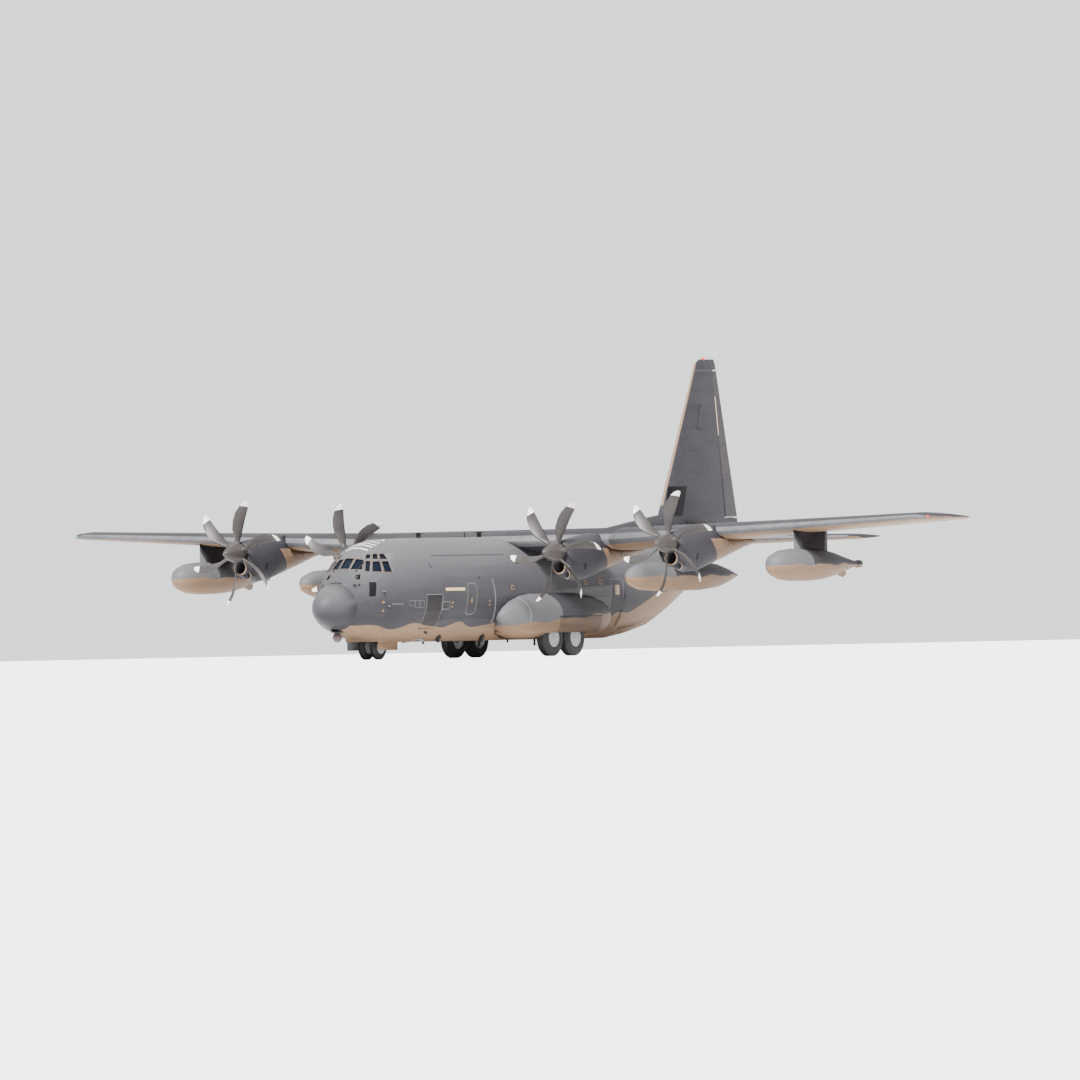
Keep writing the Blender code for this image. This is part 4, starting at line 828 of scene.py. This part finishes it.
class PLANE_OT_body(bpy.types.Operator):
    """Paint the body, its nose and the wheel fairings"""

    bl_idname = "plane.body"
    bl_label = "Body"

    def execute(self, context):
        lining = ["body_paint", "deck_finish", "boot_grey"]
        dress("radome", ["body_paint"])
        dress("fuselage_nose", lining, window_choice(all_panes()))
        dress("fuselage_centre", lining, inside_wall)
        dress("fuselage_aft", lining, inside_wall)
        dress("cockpit_glazing", ["tinted_glass"])
        for name, _ in SIDES:
            dress("sponson_" + name, ["sponson_paint"])
        return {"FINISHED"}


class PLANE_OT_doors(bpy.types.Operator):
    """Paint the crew door, the side doors, the ramp and the cargo door"""

    bl_idname = "plane.doors"
    bl_label = "Doors"

    def execute(self, context):
        lining = ["body_paint", "deck_finish"]
        dress("crew_door", ["door_paint", "deck_finish"], inside_wall, 20.0)
        for name, _ in SIDES:
            dress("paratroop_door_" + name, lining, inside_wall, 20.0)
        dress("ramp", lining, lambda face: 0 if face.normal.z < -0.1 else 1)
        dress("cargo_door", lining, lambda face: 0 if face.normal.z < -0.1 else 1)
        return {"FINISHED"}


class PLANE_OT_inside(bpy.types.Operator):
    """Paint the cargo floor and the flight deck"""

    bl_idname = "plane.inside"
    bl_label = "Inside"

    def execute(self, context):
        dress("cargo_floor", ["deck_finish"])
        dress("flight_deck", ["deck_finish"], round_edges=context.scene.plane_fittings.edge)
        return {"FINISHED"}


# grey above, tan below, and a painted highlight on the leading edge
WING_SKINS = ("upper_grey", "under_tan", "edge_highlight_grey")


class PLANE_OT_wings(bpy.types.Operator):
    """Paint the wing, its flaps and ailerons, grey above and tan below"""

    bl_idname = "plane.wings"
    bl_label = "Wings"

    def execute(self, context):
        for node in ("wing_centre", "wing_left", "wing_right"):
            dress(node, WING_SKINS, under)
        for name, _ in SIDES:
            for kind in ("flap_inner_", "flap_outer_", "aileron_"):
                dress(kind + name, WING_SKINS, under)
        return {"FINISHED"}


class PLANE_OT_tail(bpy.types.Operator):
    """Paint the fin, rudder, tailplane and elevators"""

    bl_idname = "plane.tail"
    bl_label = "Tail"

    def execute(self, context):
        dress("tailplane", WING_SKINS, under)
        for name, _ in SIDES:
            dress("elevator_" + name, WING_SKINS, under)
        dress("fin", ["fin_paint"])
        dress("rudder", ["rudder_paint"])
        return {"FINISHED"}


class PLANE_OT_engines(bpy.types.Operator):
    """Paint the nacelles and what can be seen of the engines"""

    bl_idname = "plane.engines"
    bl_label = "Engines"

    def execute(self, context):
        for number in range(1, 5):
            dress(f"nacelle_{number}", ["nacelle_paint"], smooth_angle=50.0)
            dress(f"engine_{number}", ["bolt_metal"])
        return {"FINISHED"}


# x and z of each propeller's axis, and how far its blades and its spinner reach
HUBS = {1: (9.96, 4.22), 2: (4.82, 3.98), 3: (-4.82, 3.98), 4: (-9.96, 4.22)}
BLADE_REACH = 2.06
SPINNER_REACH = 0.385


class PLANE_OT_propellers(bpy.types.Operator):
    """Finish the four six-bladed propellers with pale tips"""

    bl_idname = "plane.propellers"
    bl_label = "Propellers"

    def execute(self, context):
        for number, (x, z) in HUBS.items():
            hub = at(x, 0.0, z)

            def far(point):
                return math.hypot(point.x - hub.x, point.z - hub.z)

            def on_spinner(face):
                return 1 if max(far(vert.co) for vert in face.verts) < real(SPINNER_REACH) + 0.002 else 0

            piece = dress(f"propeller_{number}", ["blade_finish", "spinner_grey"], on_spinner, 50.0)
            reach = piece.data.attributes.new("reach", "FLOAT", "POINT")
            reach.data.foreach_set("value", [far(vert.co) / real(BLADE_REACH) for vert in piece.data.vertices])
        return {"FINISHED"}


class PLANE_OT_stores(bpy.types.Operator):
    """Paint the underwing tanks and pods"""

    bl_idname = "plane.stores"
    bl_label = "Tanks and pods"

    def execute(self, context):
        for name, _ in SIDES:
            dress("tank_" + name, ["tank_paint"])
            dress("pod_" + name, ["pod_paint"])
        return {"FINISHED"}


CHIN_TOP = 3.36  # the panes whose middle is lower have a dark disc behind them, painted shade of the space behind the glass
NOSE_VENTS = ((1.44, 2.85, 0.075), (1.58, 2.87, 0.055))  # y, z and radius
NOSE_PROBES = ((2.30, 2.59), (2.43, 2.05))  # y and z


class PLANE_OT_nose_trim(bpy.types.Operator):
    """Add the window seals, wipers, vents and probes to the nose"""

    bl_idname = "plane.nose_trim"
    bl_label = "Nose trim"

    def execute(self, context):
        fittings = context.scene.plane_fittings
        skin = Skin("fuselage_nose")
        seals = SolidPart()
        for points, middle, out in all_panes():
            seals.frame_round(skin, points, middle, out, fittings.seal, 0.0015, 0.012, "seal_tan")
        seals.finish("window_seals", AIRFRAME)

        trim = SolidPart()
        # a dark disc behind each lower pane: painted shade of the space behind the glass
        for _, middle, out in all_panes():
            if middle.z < real(CHIN_TOP):
                trim.rod(middle - out * 0.034, middle - out * 0.028, real(0.24), "dark_glass_and_shade", segments=20)
        for _, side in SIDES:
            # a wiper: its pivot, its arm and its blade
            foot, out = skin.hit(at(side * 0.52, 0.0, 3.42), AFT)
            tip = skin.hit(at(side * 0.66, 0.0, 3.70), AFT)[0]
            lift = Vector((0.0, -0.012, 0.008))
            trim.ball(foot, real(0.045), "boot_grey")
            trim.rod(foot + lift * 0.5, tip + lift, real(0.012), "boot_grey", segments=8)
            trim.rod(tip + lift - Vector((side * 0.05, 0.01, 0.10)), tip + lift + Vector((-side * 0.01, 0.01, 0.05)),
                     real(0.014), "cowl_shadow", segments=8)
            for y, z, radius in NOSE_VENTS:
                place, out = skin.flank(y, z, side)
                trim.rod(place - out * 0.01, place + out * 0.014, real(radius), "boot_grey")
                trim.rod(place + out * 0.012, place + out * 0.0146, real(radius * 0.8), "cowl_shadow")
            for y, z in NOSE_PROBES:
                place, out = skin.flank(y, z, side)
                stem = place + out * 0.05
                trim.rod(place - out * 0.01, stem, real(0.022), "boot_grey", segments=10)
                trim.rod(stem + AFT * 0.012, stem - AFT * 0.07, real(0.018), "bolt_metal", segments=10)
                trim.rod(place, place + out * 0.004, real(0.06), "boot_grey")
        spot, up = skin.top(0.36, 4.05)
        trim.rod(spot, spot + up * 0.02, real(0.05), "fitting_white", segments=12)
        trim.finish("nose_fittings", AIRFRAME)
        return {"FINISHED"}


# y, height, length, thickness and flat top's length of each aerial on the crown, then y, height and length below
ROOF_AERIALS = ((7.03, 0.19, 0.26, 0.05, 0.56), (11.26, 0.19, 0.26, 0.05, 0.56), (10.24, 0.20, 0.06, 0.03, 0.0),
                (13.38, 0.24, 0.06, 0.03, 0.0), (18.15, 0.22, 0.22, 0.03, 0.0))
BELLY_AERIALS = ((4.40, 0.12, 0.16), (7.20, 0.10, 0.12), (11.10, 0.26, 0.14), (13.10, 0.10, 0.12), (15.00, 0.24, 0.14),
                 (15.60, 0.08, 0.22))
# x and y of the ends, radius and material of the swept brackets and the long aerial low on the port side
LOW_BRACKETS = (
    ((1.42, 6.12), (1.14, 6.46), 0.085, "boot_grey"),
    ((1.42, 9.14), (1.14, 9.48), 0.085, "boot_grey"),
    ((0.80, 4.54), (1.25, 4.98), 0.035, "fitting_grey"),
    ((1.25, 4.98), (1.15, 5.42), 0.055, "fitting_grey"),
    ((1.55, 5.00), (1.50, 5.16), 0.05, "boot_grey"),
)
PORTHOLES = ((10.28, 2.67), (15.45, 2.83), (16.50, 2.83))  # y and z
AERIAL_FOOT = 0.04  # how much of an aerial's height stands in the skin, real


class PLANE_OT_body_trim(bpy.types.Operator):
    """Add the aerials, portholes, brackets and, at the turret's mount, a flat dark disc of painted shade to the body
    """

    bl_idname = "plane.body_trim"
    bl_label = "Body trim"

    def execute(self, context):
        skin = Skin("fuselage_nose", "fuselage_centre", "fuselage_aft")
        trim = SolidPart()
        for y, height, length, thick, top in ROOF_AERIALS:
            place, _ = skin.top(0.0, y)
            size = (real(thick), real(length), real(height + AERIAL_FOOT))
            trim.block(place + UP * real((height - AERIAL_FOOT) / 2), size, "boot_grey", 0.003)
            if top:
                trim.block(place + UP * real(height), (real(0.14), real(top), real(0.022)), "boot_grey", 0.003)
        for y, height, length in BELLY_AERIALS:
            place, _ = skin.belly(0.0, y)
            size = (real(0.025), real(length), real(height + AERIAL_FOOT))
            trim.block(place - UP * real((height - AERIAL_FOOT) / 2), size, "boot_grey", 0.003)
        for start, end, radius, material in LOW_BRACKETS:
            first, out = skin.belly(*start)
            last, _ = skin.belly(*end)
            lift = out * real(radius * 0.6)
            trim.rod(first + lift, last + lift, real(radius), material, segments=10)
        for _, side in SIDES:
            for y, z in PORTHOLES:
                place, out = skin.flank(y, z, side)
                trim.rod(place - out * 0.01, place + out * 0.0035, real(0.105), "seal_tan", segments=24)
                trim.rod(place + out * 0.003, place + out * 0.0045, real(0.075), "dark_glass_and_shade", segments=24)
        # a flat dark disc at the turret's mount: painted shade of the recess there
        mount, _ = skin.belly(0.0, 1.30)
        trim.ball(mount, real(0.27), "boot_grey", (1.0, 1.15, 0.16))
        trim.finish("body_fittings", AIRFRAME)

        doors = Skin("paratroop_door_left", "paratroop_door_right")
        panes = SolidPart()
        for _, side in SIDES:
            place, out = doors.flank(17.66, 2.52, side)
            panes.block(place, (0.007, real(0.30), real(0.38)), "lip_metal", round_edge=0.002)
        panes.finish("side_door_windows", body_named("paratroop_door_left"))
        return {"FINISHED"}


INTAKE_DROP = 0.54  # from a propeller's axis to the middle of the intake under it


def lip_profile(count, depth, shift, radius, thick):
    """The oval section of an intake's lip, as rows of distance along the axis and radius."""
    turns = [math.tau * i / count for i in range(count)]
    return [(-depth * math.sin(turn) - shift, real(radius) + thick * math.cos(turn)) for turn in turns]


class PLANE_OT_intakes(bpy.types.Operator):
    """Add the round intake lips, the small scoops and the dark discs inside them"""

    bl_idname = "plane.intakes"
    bl_label = "Intakes"

    def execute(self, context):
        for number, (x, z) in HUBS.items():
            part = SolidPart()
            level = z - INTAKE_DROP
            part.turned(lip_profile(10, 0.010, 0.002, 0.268, 0.014), at(x, 9.50, level), AFT, "lip_metal", 40, True)
            part.rod(at(x, 9.86, level), at(x, 9.90, level), real(0.235), "cowl_shadow", segments=32)
            scoop = at(x + 0.27, 9.60, z - 0.86)
            part.rod(scoop, at(x + 0.08, 10.95, z - 0.90), real(0.17), "nacelle_paint", real(0.05), 24)
            part.turned(lip_profile(8, 0.006, 0.0, 0.150, 0.007), scoop, AFT, "lip_metal", 28, True)
            part.rod(scoop - AFT * 0.0025, scoop + AFT * 0.004, real(0.140), "cowl_shadow", segments=24)
            part.finish(f"intake_{number}", AIRFRAME)
        return {"FINISHED"}


def end_point(skin, x, low, high, start, heading, steps):
    """The first point of a surface on the heading from a real y, at a real x and between two heights."""
    found = [skin.tree.ray_cast(at(x, start, low + (high - low) * i / steps), heading)[0] for i in range(steps + 1)]
    return min((point for point in found if point is not None), key=lambda point: point.dot(heading))


def front_point(skin, x, low, high):
    return end_point(skin, x, low, high, 2.0, AFT, 60)


def rear_point(skin, x, low, high):
    return end_point(skin, x, low, high, 34.0, -AFT, 160)


WICK_RADIUS = 0.0022
# start of the node's name, lowest and highest z to search, and the x of each static wick
WICKS = (("aileron_", 3.5, 6.2, (13.2, 15.4, 17.6, 18.8)), ("elevator_", 3.8, 5.2, (3.0, 5.2, 7.2)))


class PLANE_OT_wing_trim(bpy.types.Operator):
    """Add the tip lamps, wicks, the strip under the rudder, the fin's beacon and its side rails"""

    bl_idname = "plane.wing_trim"
    bl_label = "Wing trim"

    def execute(self, context):
        trim = SolidPart()
        for (name, side), lamp in zip(SIDES, ("lamp_red", "lamp_green")):
            skin = Skin("wing_" + name)
            tip = front_point(skin, side * 19.7, 3.5, 6.5)
            trim.ball(tip + AFT * 0.006, context.scene.plane_fittings.lamp * 0.8, lamp, (1.5, 1.0, 0.7))
            for x in (19.4, 19.9):
                rear = rear_point(skin, side * x, 3.5, 6.5)
                trim.rod(rear - AFT * 0.01, rear + AFT * 0.09, WICK_RADIUS, "boot_grey", segments=6)
            for node, low, high, places in WICKS:
                part = SolidPart()
                surface = Skin(node + name)
                for x in places:
                    rear = rear_point(surface, side * x, low, high)
                    part.rod(rear - AFT * 0.006, rear + AFT * 0.07, WICK_RADIUS, "boot_grey", segments=6)
                part.finish(f"wicks_{node}{name}", body_named(node + name))
        fin = Skin("fin")
        # a dark strip on the fin's ledge, clear of the rudder's foot and pin
        trim.block(at(0.0, 29.12, 5.284), (real(0.04), real(0.50), real(0.030)), "boot_grey")
        crown, _ = fin.hit(at(0.0, 27.45, 14.0), -UP)
        trim.ball(crown + UP * 0.006, real(0.07), "lamp_red", (1.0, 1.4, 1.0))
        for _, side in SIDES:
            posts = [fin.flank(y, z, side)[0] for y, z in ((26.75, 8.80), (26.98, 9.70))]
            out = Vector((side * 0.035, 0.0, 0.0))
            trim.rod(posts[0] + out * 1.1, posts[1] + out * 0.8, real(0.022), "boot_grey", segments=8)
            for post in posts:
                trim.rod(post - out * 0.2, post + out, real(0.03), "boot_grey", segments=8)
        trim.finish("wing_and_fin_fittings", AIRFRAME)
        return {"FINISHED"}


def wheel(name, x, y, radius, width, bore, body):
    """A tyre turned with grooves round its tread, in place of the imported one."""
    half = width / 2
    side = [(half - 0.03, bore), (half, bore + 0.06), (half - 0.004, radius - 0.16), (half - 0.02, radius - 0.10),
            (half - 0.09, radius)]
    rows = [(-along, reach) for along, reach in side]
    for groove in (-0.55, -0.18, 0.18, 0.55):
        middle = groove * (half - 0.09)
        for along, depth in ((-0.012, 0.0), (-0.009, 0.022), (0.009, 0.022), (0.012, 0.0)):
            rows.append((middle + along, radius - depth))
    rows += list(reversed(side))
    part = SolidPart()
    rows = [(real(along), real(reach)) for along, reach in rows]
    part.turned(rows, at(x, y, radius), (1.0, 0.0, 0.0), "tyre_finish", 56, True)
    tyre = part.finish("finished_" + name, body, 40.0)
    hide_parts(name)


def hub_trim(name, x, y, radius, face, reach, body, side):
    """A hub cap and a ring of bolts on the outer face of a wheel."""
    part = SolidPart()
    out = Vector((side, 0.0, 0.0))
    centre = at(x, y, radius) + out * real(face)
    cap = ((0.0, 0.115), (0.022, 0.105), (0.034, 0.06), (0.036, 0.0))
    ring = ((0.0, reach * 0.97), (0.012, reach * 0.95), (0.012, reach * 0.86), (0.0, reach * 0.84))
    for rows, material, segments in ((cap, "leg_finish", 24), (ring, "rim_finish", 40)):
        part.turned([(real(along), real(away)) for along, away in rows], centre, out, material, segments)
    for i in range(10):
        turn = math.tau * i / 10
        bolt = centre + Vector((0.0, math.cos(turn), math.sin(turn))) * real(reach * 0.66)
        part.rod(bolt - out * 0.001, bolt + out * real(0.02), real(0.018), "bolt_metal", segments=6)
    part.finish("hub_" + name, body)


# radius, width and rim's radius
MAIN_WHEEL = (0.71, 0.46, 0.359)
NOSE_WHEEL = (0.495, 0.30, 0.269)


class PLANE_OT_gear(bpy.types.Operator):
    """Finish the legs, rims, tyres and the sensor turret"""

    bl_idname = "plane.gear"
    bl_label = "Landing gear"

    def execute(self, context):
        edge = context.scene.plane_fittings.edge
        for node in ("nose_leg", "nose_fork", "main_gear_legs_left", "main_gear_legs_right"):
            dress(node, ["leg_finish"], round_edges=edge)
        dress("nose_rims", ["rim_finish"], round_edges=edge)
        for name, side in SIDES:
            self.tyre("nose_tyre_" + name, side, NOSE_WHEEL, "nose_tyre_" + name)
            for end in ("front", "rear"):
                dress(f"main_rim_{name}_{end}", ["rim_finish"], round_edges=edge)
                self.tyre(f"main_tyre_{name}_{end}", side, MAIN_WHEEL, f"main_rim_{name}_{end}")
        dress("sensor_turret", ["turret_finish"], smooth_angle=50.0)
        return {"FINISHED"}

    def tyre(self, name, side, sizes, rim):
        """The grooved tyre and the hub trim of one wheel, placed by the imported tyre's own middle."""
        radius, width, bore = sizes
        verts = [vert.co for vert in frame["nodes"][name].data.vertices]
        x = (min(v.x for v in verts) + max(v.x for v in verts)) / 2 / HALF_SIZE
        y = (min(v.y for v in verts) + max(v.y for v in verts)) / 2 / HALF_SIZE + MIDDLE_STATION
        wheel(name, x, y, radius, width, bore, body_named(name))
        hub_trim(name, x, y, radius, width / 2 - 0.028, bore, body_named(rim), side)


SUN_WIDTH = 18.0  # degrees, which softens the shadows
SUN_TURN = (40.0, 0.0, 18.0)


class PLANE_OT_studio(bpy.types.Operator):
    """Set a pale floor, soft light and the camera at the photograph's angle"""

    bl_idname = "plane.studio"
    bl_label = "Studio"

    def execute(self, context):
        studio = context.scene.plane_studio
        bm = bmesh.new()
        bmesh.ops.create_grid(bm, x_segments=1, y_segments=1, size=studio.floor)
        mesh = bpy.data.meshes.new("floor")
        bm.to_mesh(mesh)
        bm.free()
        _, shader = new_material("floor_white", 0.9)
        shader.inputs["Base Color"].default_value = (0.86, 0.86, 0.87, 1.0)
        mesh.materials.append(bpy.data.materials["floor_white"])
        floor = bpy.data.objects.new("floor", mesh)
        context.scene.collection.objects.link(floor)

        world = bpy.data.worlds.new("pale_sky")
        world.use_nodes = True
        back = world.node_tree.nodes["Background"]
        back.inputs["Color"].default_value = (0.97, 0.98, 1.0, 1.0)
        back.inputs["Strength"].default_value = studio.sky
        context.scene.world = world

        light = bpy.data.lights.new("soft_sun", "SUN")
        light.energy = studio.sun
        light.angle = math.radians(SUN_WIDTH)
        light.color = (1.0, 0.97, 0.93)
        sun = bpy.data.objects.new("soft_sun", light)
        sun.rotation_euler = [math.radians(turn) for turn in SUN_TURN]
        context.scene.collection.objects.link(sun)

        aim = Vector(studio.aim)
        back = Vector((math.sin(studio.azimuth), -math.cos(studio.azimuth), 0.0)) * studio.distance
        lens = bpy.data.cameras.new("camera")
        lens.lens = studio.lens
        lens.sensor_width = 36.0
        lens.clip_start = 1.0
        lens.clip_end = 4.0 * studio.floor
        camera = bpy.data.objects.new("camera", lens)
        camera.location = (aim.x + back.x, aim.y + back.y, studio.height)
        look = (aim - camera.location).to_track_quat("-Z", "Y")
        camera.rotation_mode = "QUATERNION"
        camera.rotation_quaternion = look @ Matrix.Rotation(-studio.roll, 3, "Z").to_quaternion()
        context.scene.collection.objects.link(camera)
        context.scene.camera = camera
        return {"FINISHED"}


OPERATORS = (PLANE_OT_body, PLANE_OT_doors, PLANE_OT_inside, PLANE_OT_wings, PLANE_OT_tail, PLANE_OT_engines,
             PLANE_OT_propellers, PLANE_OT_stores, PLANE_OT_nose_trim, PLANE_OT_body_trim, PLANE_OT_intakes,
             PLANE_OT_wing_trim, PLANE_OT_gear, PLANE_OT_studio)


class PLANE_PT_panel(bpy.types.Panel):
    """The plane's pieces, one button each"""

    bl_idname = "PLANE_PT_panel"
    bl_label = "Transport plane"
    bl_space_type = "VIEW_3D"
    bl_region_type = "UI"
    bl_category = "Plane"

    def draw(self, context):
        for group in (context.scene.plane_studio, context.scene.plane_fittings):
            for key in group.bl_rna.properties.keys():
                if key not in {"rna_type", "name"}:
                    self.layout.prop(group, key)
        for operator in OPERATORS:
            self.layout.operator(operator.bl_idname)


CLASSES = (PlaneStudio, PlaneFittings, *OPERATORS, PLANE_PT_panel)


def register():
    for each in CLASSES:
        bpy.utils.register_class(each)
    bpy.types.Scene.plane_studio = bpy.props.PointerProperty(type=PlaneStudio)
    bpy.types.Scene.plane_fittings = bpy.props.PointerProperty(type=PlaneFittings)


def unregister():
    del bpy.types.Scene.plane_studio
    del bpy.types.Scene.plane_fittings
    for each in reversed(CLASSES):
        bpy.utils.unregister_class(each)


def main():
    register()
    make_materials()
    for operator in OPERATORS:
        group, name = operator.bl_idname.split(".")
        getattr(getattr(bpy.ops, group), name)()


if __name__ == "__main__":
    main()
